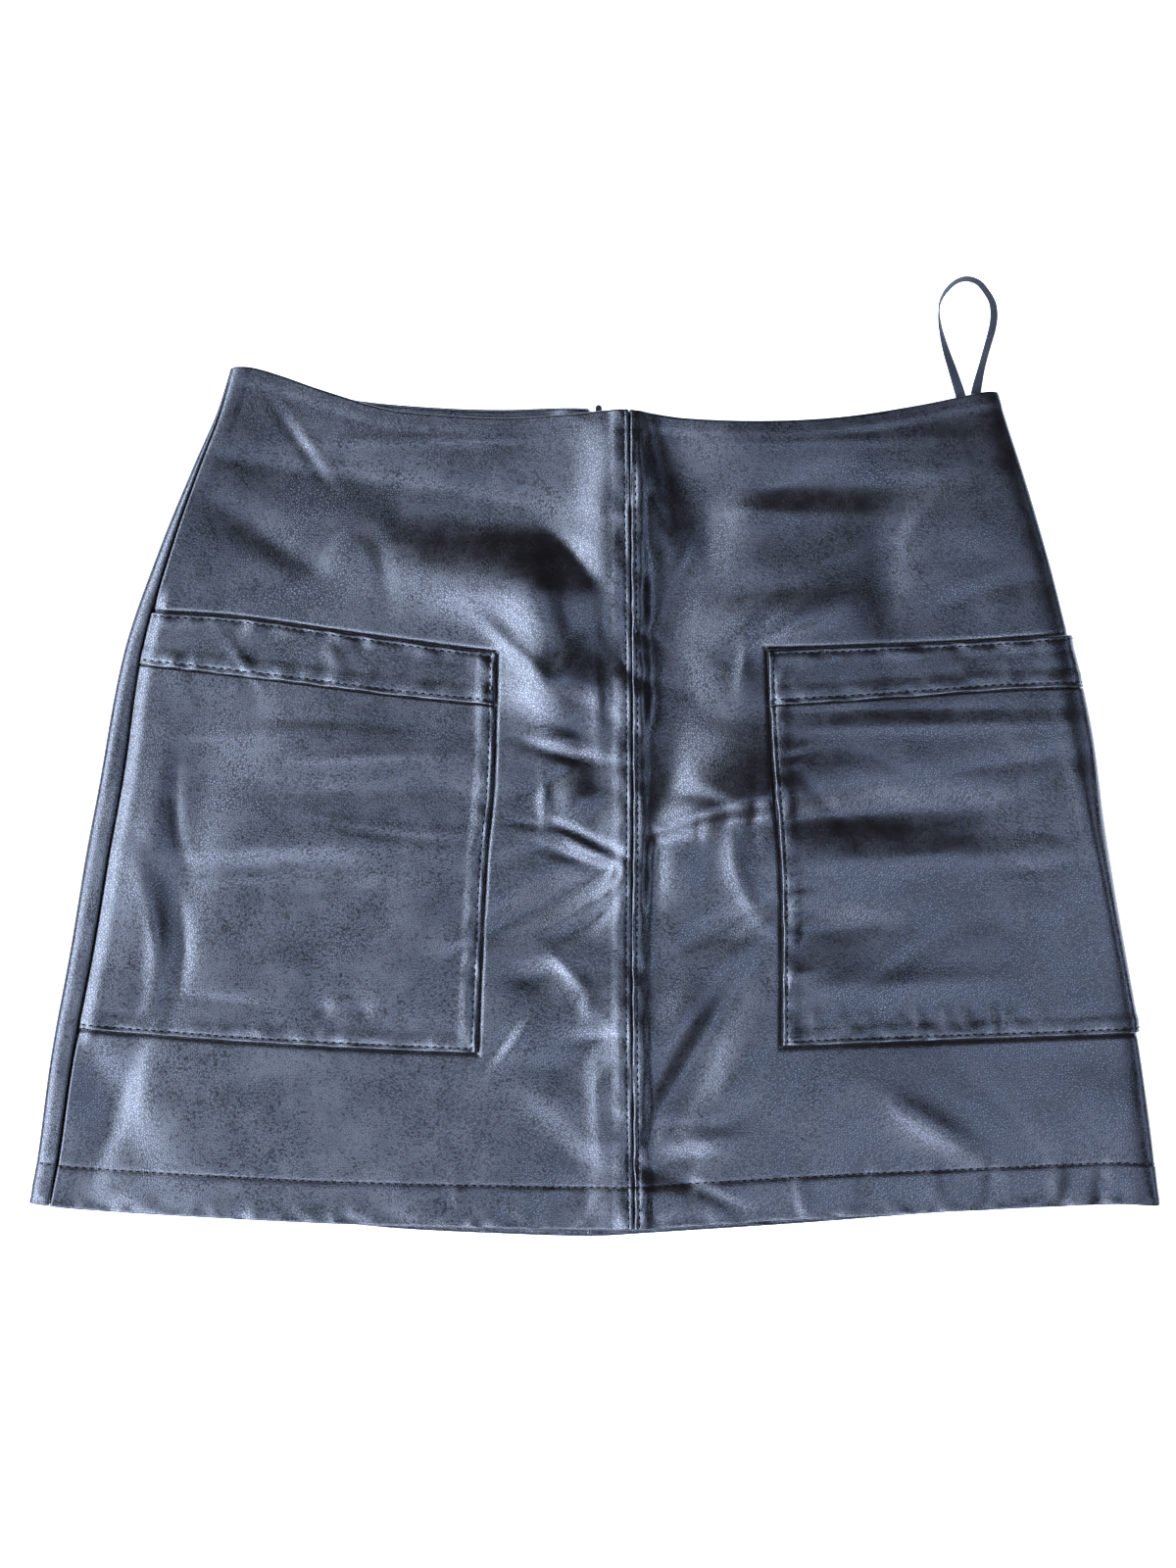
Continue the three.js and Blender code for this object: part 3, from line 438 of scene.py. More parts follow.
def bagRows(side, below=False):
    _, foot, bandSeam, _, _ = rowStops(side, below)
    gap = lay["seamGap"] / 2
    return runs(
        (foot, None), (shifted(foot, besideWidth), "away"),
        (shifted(bandSeam, -gap - besideWidth), (160, cell)),
        (shifted(bandSeam, -gap), "towards"),
    )


def bandRows(side, below=False):
    _, _, bandSeam, mouth, _ = rowStops(side, below)
    gap = lay["seamGap"] / 2
    return runs(
        (shifted(bandSeam, gap), None), (shifted(bandSeam, gap + besideWidth), "away"),
        (shifted(mouth, -besideWidth), (16, cell)), (mouth, "towards"),
    )


def rollShares(count):  # close lines where the roll is steep
    return 1 - np.cos(np.linspace(0, math.pi / 2, count + 1))


def frontLeftNet(rows, columns):
    x, y = lineNet(columns, rows)
    return x, y, stacked(x, y, frontHeight(x, y))


def leftColumns(last):
    gap = lay["seamGap"] / 2
    seam = shifted(leftSeam, gap)
    w = besideWidth
    inner = pocketLines["left"]["inner"]
    stops = [(seam, None), (shifted(seam, w), "away"), (shifted(inner, -w), (165, cell)), (inner, "towards")]
    if last == "pocket":
        return runs(*stops)
    centre = shifted(centreFront, -gap)
    return runs(*stops, (shifted(inner, w), "away"), (shifted(centre, -w), (58, cell)), (centre, "towards"))


def rightColumns(first):
    gap = lay["seamGap"] / 2
    w = besideWidth
    inner = pocketLines["right"]["inner"]
    roll = shifted(rightEdge, -lay["rightTop"])
    if first == "pocket":
        made = runs((inner, None), (shifted(inner, w), "away"), (roll, (140, cell)))
    else:
        centre = shifted(centreFront, gap)
        made = runs(
            (centre, None), (shifted(centre, w), "away"), (shifted(inner, -w), (60, cell)), (inner, "towards"),
            (shifted(inner, w), "away"), (roll, (140, cell)),
        )
    made.append((roll, rightEdge, 1 - rollShares(12)[::-1][1:]))
    below = shifted(rightEdge, -lay["rightBelow"])
    seam = shifted(rightEdge, gap - lay["rightSeamInset"])
    under = [
        (rightEdge, below, rollShares(8)[1:]), (below, shifted(seam, besideWidth), evenShares(7, cell)),
        (shifted(seam, besideWidth), seam, 1 - beside[::-1][1:] / besideWidth),
    ]
    return made, under


def rightNet(rowsOf, first):
    top, under = rightColumns(first)
    x, y = lineNet(top, rowsOf("right"))
    topPoints = stacked(x, y, topHeight(x, y))
    x, y = lineNet(under, rowsOf("right", True))
    return np.concatenate([topPoints, stacked(x, y, rightBelowHeight(x, y))])


def cross(line, at, value):  # distance from a line, measured square to it
    slope = (line(at + 1) - line(at - 1)) / 2
    return (value - line(at)) / np.sqrt(1 + slope**2)


def edgeDrop(distance, radius=1.1, depth=0.85):  # how far a rounded edge falls
    t = np.clip(distance / radius, 0, 1)
    return depth * (1 - np.sqrt(1 - (1 - t) ** 2))


def stitchDip(distance, depth=0.2):
    return depth * np.exp(-((distance / 0.8) ** 2))


# Steps that the turned-in leather makes, and how far the seams pull in, in millimetres
seamLook = {
    "pocketGap": 0.8, "pocketGapReach": 1.5, "centreStitch": 2.4, "centreAllowance": 9, "pocketStitch": 2.5,
    "pocketAllowance": 9, "mouthStitch": 2.1, "mouthAllowance": 7, "waistAllowance": 8, "sideAllowance": 9,
    "step": 0.4, "sideStep": 0.2, "pocketStep": 0.5, "mouthStep": 0.2, "hemStep": 0.35, "stepRamp": 1.8,
    "edge": 0.85, "centreEdge": 0.95, "leftSideEdge": 0.9, "hiddenSideEdge": 0.5, "pocketSideEdge": 0.6,
    "pocketEdge": 1.6, "bandEdge": 1.0, "mouthEdge": 1.5, "zipEdge": 0.7,
}


def allowance(distance, width, step):
    return step * smoothStep((width - distance) / seamLook["stepRamp"])


def pucker(x, y, distance, reach=7.0):
    return wave["pucker"] * seamPucker(x, y) * np.exp(-((distance / reach) ** 2)) * smoothStep(distance / 0.8)


# Each edge is its distance, allowance width, step, stitch distance or None, and edge depth
def panelDetail(points, edges):
    lift = np.zeros(points.shape[:2])
    for distance, width, step, stitch, drop in edges:
        lift += allowance(distance, width, step)
        lift -= edgeDrop(distance, depth=drop)
        if stitch is not None:
            lift += pucker(points[:, :, 0], points[:, :, 1], distance)
            lift -= stitchDip(distance - stitch)
    return lift


def pocketGap(side, x, y):  # the front sinks a little just outside the edge of its pocket
    lines = pocketLines[side]
    across = x - lines["inner"](y) if side == "left" else lines["inner"](y) - x
    outside = np.maximum(across, np.maximum(lines["foot"](x) - y, y - lines["mouth"](x)))
    return seamLook["pocketGap"] * np.exp(-((outside / seamLook["pocketGapReach"]) ** 2))


def movedOut(points, by):
    return points + outward(points) * by[:, :, None]


def clothPiece(name, points, thick, material, replaced):
    columns, rows = points.shape[0] - 1, points.shape[1] - 1
    bm = bmesh.new()
    bmesh.ops.create_grid(bm, x_segments=columns, y_segments=rows, size=0.5)
    mesh = bpy.data.meshes.new(name)
    bm.to_mesh(mesh)
    bm.free()
    flatPlaces = np.empty(len(mesh.vertices) * 3)
    mesh.vertices.foreach_get("co", flatPlaces)
    i = np.rint((flatPlaces[0::3] + 0.5) * columns).astype(int)
    j = np.rint((flatPlaces[1::3] + 0.5) * rows).astype(int)
    mesh.vertices.foreach_set("co", (points[i, j] * mm).ravel())
    for polygon in mesh.polygons:
        polygon.use_smooth = True
    mesh.materials.append(material)
    piece = bpy.data.objects.new(name, mesh)
    bpy.context.scene.collection.objects.link(piece)
    shell = piece.modifiers.new("thickness", "SOLIDIFY")
    shell.thickness = thick * mm
    shell.offset = -1
    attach(piece, body)
    if replaced:
        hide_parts(*replaced)
    return piece


def alongLine(points, normals, pitch, start=0.5, fall=0.0):
    steps = np.linalg.norm(np.diff(points, axis=0), axis=1)
    place = np.concatenate([[0], np.cumsum(steps)])
    at = np.arange(pitch * start, place[-1] - pitch * 0.3, pitch)
    middle = np.stack([np.interp(at, place, points[:, k]) for k in range(3)], axis=1)
    ahead = np.stack([np.interp(at + 0.5, place, points[:, k]) for k in range(3)], axis=1) - middle
    normal = np.stack([np.interp(at, place, normals[:, k]) for k in range(3)], axis=1)
    return middle - fall * normal, ahead, normal


def stitchPlaces(points, normals):
    long, wide, high = stitchLook["long"], stitchLook["wide"], stitchLook["high"]
    places = []
    for middle, ahead, up in zip(*alongLine(points, normals, stitchLook["pitch"], fall=stitchLook["sunk"])):
        xAxis = Vector(ahead).normalized()
        yAxis = Vector(up).cross(xAxis).normalized()
        zAxis = xAxis.cross(yAxis)
        turned = Matrix((xAxis * long / 2, yAxis * wide / 2, zAxis * high / 2)).transposed().to_4x4()
        places.append(Matrix.Scale(mm, 4) @ Matrix.Translation(Vector(middle)) @ turned)
    return places


def smallRounds(name, places, material, around=6, rings=5, together=40):  # round bodies as one piece
    whole = bmesh.new()
    for first in range(0, len(places), together):
        few = bmesh.new()
        for place in places[first : first + together]:
            bmesh.ops.create_uvsphere(few, u_segments=around, v_segments=rings, radius=1, matrix=place)
        carrier = bpy.data.meshes.new("few")
        few.to_mesh(carrier)
        few.free()
        whole.from_mesh(carrier)
        bpy.data.meshes.remove(carrier)
    mesh = bpy.data.meshes.new(name)
    whole.to_mesh(mesh)
    whole.free()
    for polygon in mesh.polygons:
        polygon.use_smooth = True
    mesh.materials.append(material)
    piece = bpy.data.objects.new(name, mesh)
    bpy.context.scene.collection.objects.link(piece)
    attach(piece, body)
    return piece


def nearestColumn(points, line, offset):  # index of the net's column that lies this far from a line
    middle = points.shape[1] // 2
    x, y = points[:, middle, 0], points[:, middle, 1]
    return int(np.argmin(np.abs(x - line(y) - offset)))


def nearestRow(points, line, offset, column):
    x, y = points[column, :, 0], points[column, :, 1]
    return int(np.argmin(np.abs(y - line(x) - offset)))


def linear(hexColour):
    channels = [int(hexColour[i : i + 2], 16) / 255 for i in (1, 3, 5)]
    return [c / 12.92 if c <= 0.04045 else ((c + 0.055) / 1.055) ** 2.4 for c in channels] + [1]


def newMaterial(name):
    material = bpy.data.materials.new(name)
    material.use_nodes = True
    tree = material.node_tree
    shader = tree.nodes["Principled BSDF"]
    return material, tree, shader


def node(tree, kind, settings=None, **inputs):
    made = tree.nodes.new(kind)
    for key, value in (settings or {}).items():
        setattr(made, key, value)
    for key, value in inputs.items():
        socket = made.inputs[int(key[1:])] if key[0] == "i" and key[1:].isdigit() else made.inputs[key]
        if isinstance(value, bpy.types.NodeSocket):
            tree.links.new(value, socket)
        else:
            socket.default_value = value
    return made


# Black lambskin: brown-black, a fine pebble grain and a soft broken gloss
leatherLook = {
    "colour": "#0b0807", "gloss": 0.20, "dull": 0.30, "level": 1.0, "valleyLevel": 0.42, "grain": 1.15,
    "grainHeight": 0.03, "creaseHeight": 0.03, "domeReach": 0.28, "uneven": 0.9, "patchesPerMetre": 90.0,
    "patchFrom": 0.35, "patchTo": 0.65, "finePerMetre": 260.0,
}


def leatherMaterial():
    material, tree, shader = newMaterial("lambskin, black")
    place = node(tree, "ShaderNodeTexCoord").outputs["Object"]
    pebbles = node(
        tree, "ShaderNodeTexVoronoi", {"feature": "DISTANCE_TO_EDGE"}, Vector=place,
        Scale=1000 / leatherLook["grain"], Randomness=leatherLook["uneven"],
    )
    domes = node(tree, "ShaderNodeMapRange", {"interpolation_type": "SMOOTHSTEP"}, Value=pebbles.outputs["Distance"])
    domes.inputs["From Max"].default_value = leatherLook["domeReach"]
    patches = node(tree, "ShaderNodeTexNoise", Vector=place, Scale=leatherLook["patchesPerMetre"], Detail=4.0)
    gloss = node(tree, "ShaderNodeMapRange", Value=patches.outputs["Fac"])
    gloss.inputs["From Min"].default_value = leatherLook["patchFrom"]
    gloss.inputs["From Max"].default_value = leatherLook["patchTo"]
    gloss.inputs["To Min"].default_value = leatherLook["gloss"]
    gloss.inputs["To Max"].default_value = leatherLook["dull"]
    tree.links.new(gloss.outputs["Result"], shader.inputs["Roughness"])
    grainBump = node(
        tree, "ShaderNodeBump", Height=domes.outputs["Result"], Distance=leatherLook["grainHeight"] * mm,
        Strength=1.0,
    )
    fineCrease = node(
        tree, "ShaderNodeTexNoise", Vector=place, Scale=leatherLook["finePerMetre"], Detail=5.0,
        Roughness=0.65,
    )
    creaseBump = node(
        tree, "ShaderNodeBump", Height=fineCrease.outputs["Fac"], Strength=1.0,
        Distance=leatherLook["creaseHeight"] * mm, Normal=grainBump.outputs["Normal"],
    )
    tree.links.new(creaseBump.outputs["Normal"], shader.inputs["Normal"])
    shader.inputs["Base Color"].default_value = linear(leatherLook["colour"])
    level = node(tree, "ShaderNodeMapRange", Value=domes.outputs["Result"])
    level.inputs["To Min"].default_value = leatherLook["valleyLevel"]
    level.inputs["To Max"].default_value = leatherLook["level"]
    tree.links.new(level.outputs["Result"], shader.inputs["Specular IOR Level"])
    return material


def plainMaterial(name, colour, roughness, metallic=0.0):
    material, tree, shader = newMaterial(name)
    shader.inputs["Base Color"].default_value = linear(colour)
    shader.inputs["Roughness"].default_value = roughness
    shader.inputs["Metallic"].default_value = metallic
    return material


leatherSkin = leatherMaterial()
# Matt thread, dark and almost without gloss
thread = plainMaterial("polyester thread, black", "#040405", 0.9)
thread.node_tree.nodes["Principled BSDF"].inputs["Specular IOR Level"].default_value = 0.1
# Matt woven cloth, a little lighter than the leather
tapeCloth = plainMaterial("woven zip tape, black", "#111114", 0.9)
# Smooth paint on metal, with a clear shine
enamel = plainMaterial("enamelled zinc, black", "#1c1b1d", 0.32, 0.6)
# Ribbed ribbon, soft and slightly blue
grosgrain = plainMaterial("grosgrain ribbon, black", "#15161b", 0.75)
print("materials done")

allRows = []  # points and normals along each row of stitches
farAway = 99
halfGap = lay["seamGap"] / 2

# Front, left of the centre seam
columns = leftColumns("panel")
x, y, points = frontLeftNet(panelRows("left"), columns)
seamDistance = x - leftSeam(y) - halfGap
centreDistance = centreFront(y) - halfGap - x
hemDistance = cross(frontHem, x, y)
waistDistance = -cross(frontWaist, x, y)
edges = [
    (seamDistance, seamLook["sideAllowance"], seamLook["sideStep"], None, seamLook["leftSideEdge"]),
    (centreDistance, seamLook["centreAllowance"], seamLook["step"], seamLook["centreStitch"],
     seamLook["centreEdge"]),
    (hemDistance, lay["hemDepth"], seamLook["hemStep"], lay["hemDepth"], seamLook["edge"]),
    (waistDistance, seamLook["waistAllowance"], seamLook["step"], None, seamLook["edge"]),
]
points = movedOut(points, panelDetail(points, edges) - pocketGap("left", x, y))
clothPiece("front_left_leather", points, lay["leather"], leatherSkin, ["front_left"])
normals = outward(points)
k = nearestColumn(points, shifted(centreFront, -halfGap), -seamLook["centreStitch"])
allRows.append((points[k, 2:-2], normals[k, 2:-2]))
j = nearestRow(points, frontHem, lay["hemDepth"], 60)
allRows.append((points[:, j], normals[:, j]))
print("front left done")

# Front, right of the centre seam and round the right side to the seam below
points = rightNet(panelRows, "panel")
x, y = points[:, :, 0], points[:, :, 1]
isTop = np.zeros(x.shape, bool)
topColumns = sum(len(run[2]) for run in rightColumns("panel")[0])
isTop[:topColumns] = True
centreDistance = np.where(isTop, x - centreFront(y) - halfGap, farAway)
hemDistance = np.where(isTop, cross(frontHem, x, y), cross(backHem, x, y))
waistDistance = -np.where(isTop, cross(frontWaist, x, y), cross(backWaist, x, y))
seamDistance = np.where(isTop, farAway, x - (rightEdge(y) - lay["rightSeamInset"] + halfGap))
edges = [
    (seamDistance, seamLook["sideAllowance"], 0.0, None, seamLook["hiddenSideEdge"]),
    (centreDistance, seamLook["centreAllowance"], seamLook["step"], seamLook["centreStitch"],
     seamLook["centreEdge"]),
    (hemDistance, lay["hemDepth"], seamLook["hemStep"], lay["hemDepth"], seamLook["edge"]),
    (waistDistance, seamLook["waistAllowance"], seamLook["step"], None, seamLook["edge"]),
]
detail = panelDetail(points, edges)
lift = detail - pocketGap("right", x, y)
lift[topColumns:] = np.minimum(detail[topColumns:], 0)
points = movedOut(points, lift)
clothPiece("front_right_leather", points, lay["leather"], leatherSkin, ["front_right"])
normals = outward(points)
k = nearestColumn(points[:topColumns], shifted(centreFront, halfGap), seamLook["centreStitch"])
allRows.append((points[k, 2:-2], normals[k, 2:-2]))
j = nearestRow(points, frontHem, lay["hemDepth"], 60)
allRows.append((points[:, j], normals[:, j]))
print("front right done")


def pocketBounds(side, part):  # the lines at the lower and the upper edge
    lines = pocketLines[side]
    return (lines["foot"], lines["bandSeam"]) if part == "bag" else (lines["bandSeam"], lines["mouth"])


def pocketEdges(part, side, sideEdge, inner, low, high):
    width, stitch = seamLook["pocketAllowance"], seamLook["pocketStitch"]
    lowEdge, mouth = seamLook["pocketEdge"], (0.0, None, seamLook["bandEdge"])
    if part == "band":
        lowEdge = seamLook["bandEdge"]
        mouth = (seamLook["mouthStep"], seamLook["mouthStitch"], seamLook["mouthEdge"])
    return [
        (side, seamLook["sideAllowance"], 0.0, None, sideEdge),
        (inner, width, seamLook["pocketStep"], stitch, seamLook["pocketEdge"]),
        (low, width, seamLook["step"], stitch, lowEdge), (high, seamLook["mouthAllowance"], *mouth),
    ]


def addPocket(side, part, points, topColumns, innerOffset):
    replaced = "pocket_" + side + ("" if part == "bag" else "_band")
    clothPiece(side + "_pocket_" + part, points, lay["leather"], leatherSkin, [replaced])
    normals = outward(points)
    lowLine, highLine = pocketBounds(side, part)
    k = nearestColumn(points[:topColumns], pocketLines[side]["inner"], innerOffset)
    allRows.append((points[k, 3:], normals[k, 3:]))
    rows = [(lowLine, seamLook["pocketStitch"])]
    if part == "band":
        rows.append((highLine, -seamLook["mouthStitch"]))
    for line, offset in rows:
        j = nearestRow(points, line, offset, 40)
        allRows.append((points[3:-3, j], normals[3:-3, j]))


# Left pocket and its band
bagOut = lay["layerGap"] + lay["pocketLeather"] + lay["bagSpare"]
pocketParts = (("bag", bagRows, bagOut), ("band", bandRows, bagOut + lay["bandSpare"]))
for part, rowsOf, out in pocketParts:
    x, y, points = frontLeftNet(rowsOf("left"), leftColumns("pocket"))
    lowLine, highLine = pocketBounds("left", part)
    seamDistance, innerDistance = x - leftSeam(y) - halfGap, pocketLines["left"]["inner"](y) - x
    low, high = cross(lowLine, x, y), -cross(highLine, x, y)
    edges = pocketEdges(part, seamDistance, seamLook["pocketSideEdge"], innerDistance, low, high)
    points = movedOut(points, out + panelDetail(points, edges))
    addPocket("left", part, points, len(points), -seamLook["pocketStitch"])
print("left pocket done")

# Right pocket and its band, which run on round the side to the seam below
for part, rowsOf, out in pocketParts:
    points = rightNet(rowsOf, "pocket")
    topColumns = sum(len(run[2]) for run in rightColumns("pocket")[0])
    x, y = points[:, :, 0], points[:, :, 1]
    isTop = np.zeros(x.shape, bool)
    isTop[:topColumns] = True
    lowLine, highLine = pocketBounds("right", part)
    lowBelow, highBelow = levelAt(lowLine, rightEdge), levelAt(highLine, rightEdge)
    low = np.where(isTop, cross(lowLine, x, y), y - lowBelow(x))
    high = np.where(isTop, -cross(highLine, x, y), highBelow(x) - y)
    innerDistance = np.where(isTop, x - pocketLines["right"]["inner"](y), farAway)
    seamDistance = np.where(isTop, farAway, x - (rightEdge(y) - lay["rightSeamInset"] + halfGap))
    edges = pocketEdges(part, seamDistance, seamLook["hiddenSideEdge"], innerDistance, low, high)
    lift = panelDetail(points, edges)
    lift = np.where(isTop, lift, np.minimum(lift, 0))
    onTop = smoothStep((topColumns + lay["underFrom"] - np.arange(len(lift))) / lay["underRamp"])[:, None]
    points = movedOut(points, mix(lay["layerGap"] + lay["pocketLeather"], out, onTop) + lift)
    addPocket("right", part, points, topColumns, seamLook["pocketStitch"])
print("right pocket done")


# Hanging loop: place, height and turn of the ribbon from lying flat
loopRows = [
    (180.2, 163.5, 1.9, 0), (180.0, 169.0, 1.9, 0), (178.8, 174.6, 1.9, 4), (174.8, 187.5, 2.1, 25),
    (171.6, 197.2, 2.5, 42), (169.1, 206.9, 2.9, 62), (168.1, 213.8, 3.0, 75), (168.4, 220.0, 3.0, 90),
    (171.3, 225.8, 3.0, 108), (176.1, 230.4, 2.9, 117), (181.6, 232.0, 2.8, 129), (187.1, 230.2, 2.7, 135),
    (191.6, 224.9, 2.6, 137), (194.0, 220.3, 2.5, 139), (194.7, 214.7, 2.5, 141), (194.0, 208.4, 2.5, 139),
    (191.0, 197.5, 2.5, 134), (188.5, 188.2, 2.4, 138), (186.2, 177.6, 2.0, 165), (185.6, 172.0, 1.9, 180),
    (185.6, 163.5, 1.9, 180),
]
ribbonLook = {"wide": 5.0, "thick": 0.5, "ribPitch": 0.85, "ribHeight": 0.13}
table = np.array(loopRows)
steps = np.concatenate([[0], np.cumsum(np.linalg.norm(np.diff(table[:, :3], axis=0), axis=1))])
length = steps[-1]
at = np.linspace(0, length, int(length / ribbonLook["ribPitch"] * 4) + 1)
route = np.stack([smoothCurve(list(zip(steps, table[:, k])))(at) for k in range(4)], axis=1)
ahead = np.gradient(route[:, :3], axis=0)
ahead /= np.linalg.norm(ahead, axis=1, keepdims=True)
turn = np.radians(route[:, 3])[:, None]
side = np.stack([-ahead[:, 1], ahead[:, 0], np.zeros(len(at))], axis=1)
side /= np.linalg.norm(side, axis=1, keepdims=True)
wideWay = side * np.cos(turn) + np.array([[0, 0, 1]]) * np.sin(turn)
depthWay = np.cross(ahead, wideWay)
across = np.linspace(-0.5, 0.5, 11)
rib = ribbonLook["ribHeight"] * np.sin(2 * math.pi * at / ribbonLook["ribPitch"])
outer = (ribbonLook["thick"] / 2 + rib)[:, None] * (1 - (2 * np.abs(across)) ** 8 * 0.6)[None, :]
points = (
    route[:, None, :3] + wideWay[:, None, :] * (across * ribbonLook["wide"])[None, :, None]
    + depthWay[:, None, :] * outer[:, :, None]
)
ribbonPiece = clothPiece(
    "hanger_ribbon", points, ribbonLook["thick"], grosgrain, ["hanger_loop"],
)
print("ribbon done", round(float(length), 1))

# The zip and the slot over it, in millimetres
zipLook = {
    "length": 160, "half": 2.5, "mouthHalf": 5, "flare": 22, "taper": 14, "stitch": 6.5, "tapeFrom": 2.8, "tapeTo": 13,
    "tapeLow": 1.9, "tapeThick": 0.5, "toothPitch": 1.5, "toothLong": 2.6, "toothWide": 0.95, "toothHigh": 0.9,
    "seamHalf": 0.02, "coilLong": 157, "toothSide": 0.95, "toothHeight": 2.2, "tapeFoot": 3.5, "tapeHead": 1.5,
}


def backGap(x, y):  # half the gap between the back panels, which opens over the zip
    down = backWaist(x) - y
    openShare = smoothStep((zipLook["length"] - down) / zipLook["taper"])
    flare = smoothStep(1 - down / zipLook["flare"])
    return mix(zipLook["seamHalf"], mix(zipLook["half"], zipLook["mouthHalf"], flare), openShare)


backCell = 3.0


def backRows(hem, foot, bandSeam, mouth, waist):
    w = besideWidth
    return runs(
        (hem, None), (shifted(hem, w), "away"), (shifted(hem, lay["hemDepth"] - 1.6), (14, backCell)),
        (shifted(hem, lay["hemDepth"] + 1.6), (3.2, 0.8)), (foot, (60, backCell)), (bandSeam, (170, backCell)),
        (mouth, (26, backCell)), (shifted(waist, -w), (100, backCell)), (waist, "towards"),
    )


def backEdges(points, middleDistance, seamDistance, seamEdge):
    x, y = points[:, :, 0], points[:, :, 1]
    openShare = smoothStep((zipLook["length"] - backWaist(x) + y) / zipLook["taper"])
    return [
        (middleDistance, seamLook["sideAllowance"], 0.0, None, seamLook["zipEdge"]),
        (seamDistance, seamLook["sideAllowance"], 0.0, None, seamEdge),
        (cross(backHem, x, y), lay["hemDepth"], 0.0, lay["hemDepth"], seamLook["edge"]),
        (-cross(backWaist, x, y), seamLook["waistAllowance"], 0.0, None, seamLook["edge"]),
    ], openShare


# Back right
seam = shifted(rightEdge, -lay["rightSeamInset"] - halfGap)
middle = lambda y: centreBack(y) + backGap(centreBack(y), y)
columns = runs(
    (seam, None), (shifted(seam, -besideWidth), "away"), (lambda y: middle(y) + 9, (230, backCell)),
    (lambda y: middle(y) + besideWidth, (4, 0.8)), (middle, "towards"),
)
x, y = lineNet(columns, backRows(*rowStops("right", True)))
points = stacked(x, y, backRise(x, y))
edges, openShare = backEdges(points, x - middle(y), seam(y) - x, seamLook["hiddenSideEdge"])
lift = np.minimum(panelDetail(points, edges), 0) - openShare * stitchDip(x - middle(y) - zipLook["stitch"])
points = movedOut(points, lift)
clothPiece("back_right_leather", points, lay["leather"], leatherSkin, ["back_right"])
normals = outward(points)
k = nearestColumn(points, middle, zipLook["stitch"])
zipFoot = int(np.argmin(np.abs(points[k, :, 1] - (backWaist(0) - zipLook["length"]))))
allRows.append((points[k, zipFoot:-2], normals[k, zipFoot:-2]))
j = nearestRow(points, backHem, lay["hemDepth"], 20)
allRows.append((points[:, j], normals[:, j]))

# Back left, round the left side to the seam on top
middleLeft = lambda y: centreBack(y) - backGap(centreBack(y), y)
rollStart = shifted(leftEdge, lay["leftBelow"])
flat = runs(
    (middleLeft, None), (lambda y: middleLeft(y) - besideWidth, "away"), (lambda y: middleLeft(y) - 9, (4, 0.8)),
    (rollStart, (240, backCell)),
)
flat.append((rollStart, leftEdge, 1 - rollShares(8)[::-1][1:]))
x, y = lineNet(flat, backRows(*rowStops("left", True)))
fromEdge = smoothStep((x - leftEdge(y) - backHollows["fromEdge"]) / backHollows["ramp"])
flatPoints = stacked(x, y, leftBelowHeight(x, y) + backRise(x, y) * fromEdge)
topSeam = shifted(leftSeam, -halfGap)
x, y = lineNet([(leftEdge, topSeam, rollShares(14)[1:])], backRows(*rowStops("left")))
topPoints = stacked(x, y, topHeight(x, y))
points = np.concatenate([flatPoints, topPoints])
x, y = points[:, :, 0], points[:, :, 1]
flatColumns = len(flatPoints)
isTop = np.zeros(x.shape, bool)
isTop[flatColumns:] = True
seamDistance = np.where(isTop, topSeam(y) - x, farAway)
middleDistance = np.where(isTop, farAway, middleLeft(y) - x)
edges, openShare = backEdges(points, middleDistance, seamDistance, seamLook["leftSideEdge"])
lift = np.minimum(panelDetail(points, edges), 0) - openShare * stitchDip(middleDistance - zipLook["stitch"])
points = movedOut(points, lift)
clothPiece("back_left_leather", points, lay["leather"], leatherSkin, ["back_left"])
normals = outward(points)
k = nearestColumn(points[:flatColumns], middleLeft, -zipLook["stitch"])
allRows.append((points[k, zipFoot:-2], normals[k, zipFoot:-2]))
j = nearestRow(points, backHem, lay["hemDepth"], 20)
allRows.append((points[:, j], normals[:, j]))
print("back done")

# Facing inside the back waist
facingLook = {
    "depth": 30, "below": 0.8, "fromZip": 4.5, "fromLeftEdge": 14, "rightEnd": 172, "low": 1.4, "overTape": 2.7,
    "past": 1, "ramp": 10, "thick": 0.9, "leather": 0.8, "edgeRadius": 1, "edgeDepth": 0.6, "uneven": 0.12,
}


def facing(side):
    sign = -1 if side == "left" else 1
    rampStart = zipLook["tapeTo"] + facingLook["past"]
    near = lambda y: centreBack(y) + sign * facingLook["fromZip"]
    if sign < 0:
        first, last = shifted(leftEdge, facingLook["fromLeftEdge"]), near
    else:
        first, last = near, lambda y: np.full_like(y, facingLook["rightEnd"])
    low, high = shifted(backWaist, -facingLook["depth"]), shifted(backWaist, -facingLook["below"])
    rows = runs(
        (low, None), (shifted(low, besideWidth), "away"), (shifted(high, -besideWidth), (20, 2)),
        (high, "towards"),
    )
    x, y = lineNet(runs((first, None), (last, (170, 3))), rows)
    past = sign * (x - centreBack(y)) - rampStart
    base = mix(facingLook["overTape"], facingLook["low"], smoothStep(past / facingLook["ramp"]))
    base = base + facingLook["thick"]
    radius, drop = facingLook["edgeRadius"], facingLook["edgeDepth"]
    lift = -edgeDrop(cross(high, x, y) * -1, radius, drop) - edgeDrop(sign * (x - near(y)), radius, drop)
    points = stacked(x, y, base + lift + facingLook["uneven"] * middleWave(x, y))
    clothPiece(
        "back_facing_" + side + "_leather", points, facingLook["leather"], leatherSkin,
        ["back_facing_" + side],
    )


facing("left")
facing("right")
print("facing done")

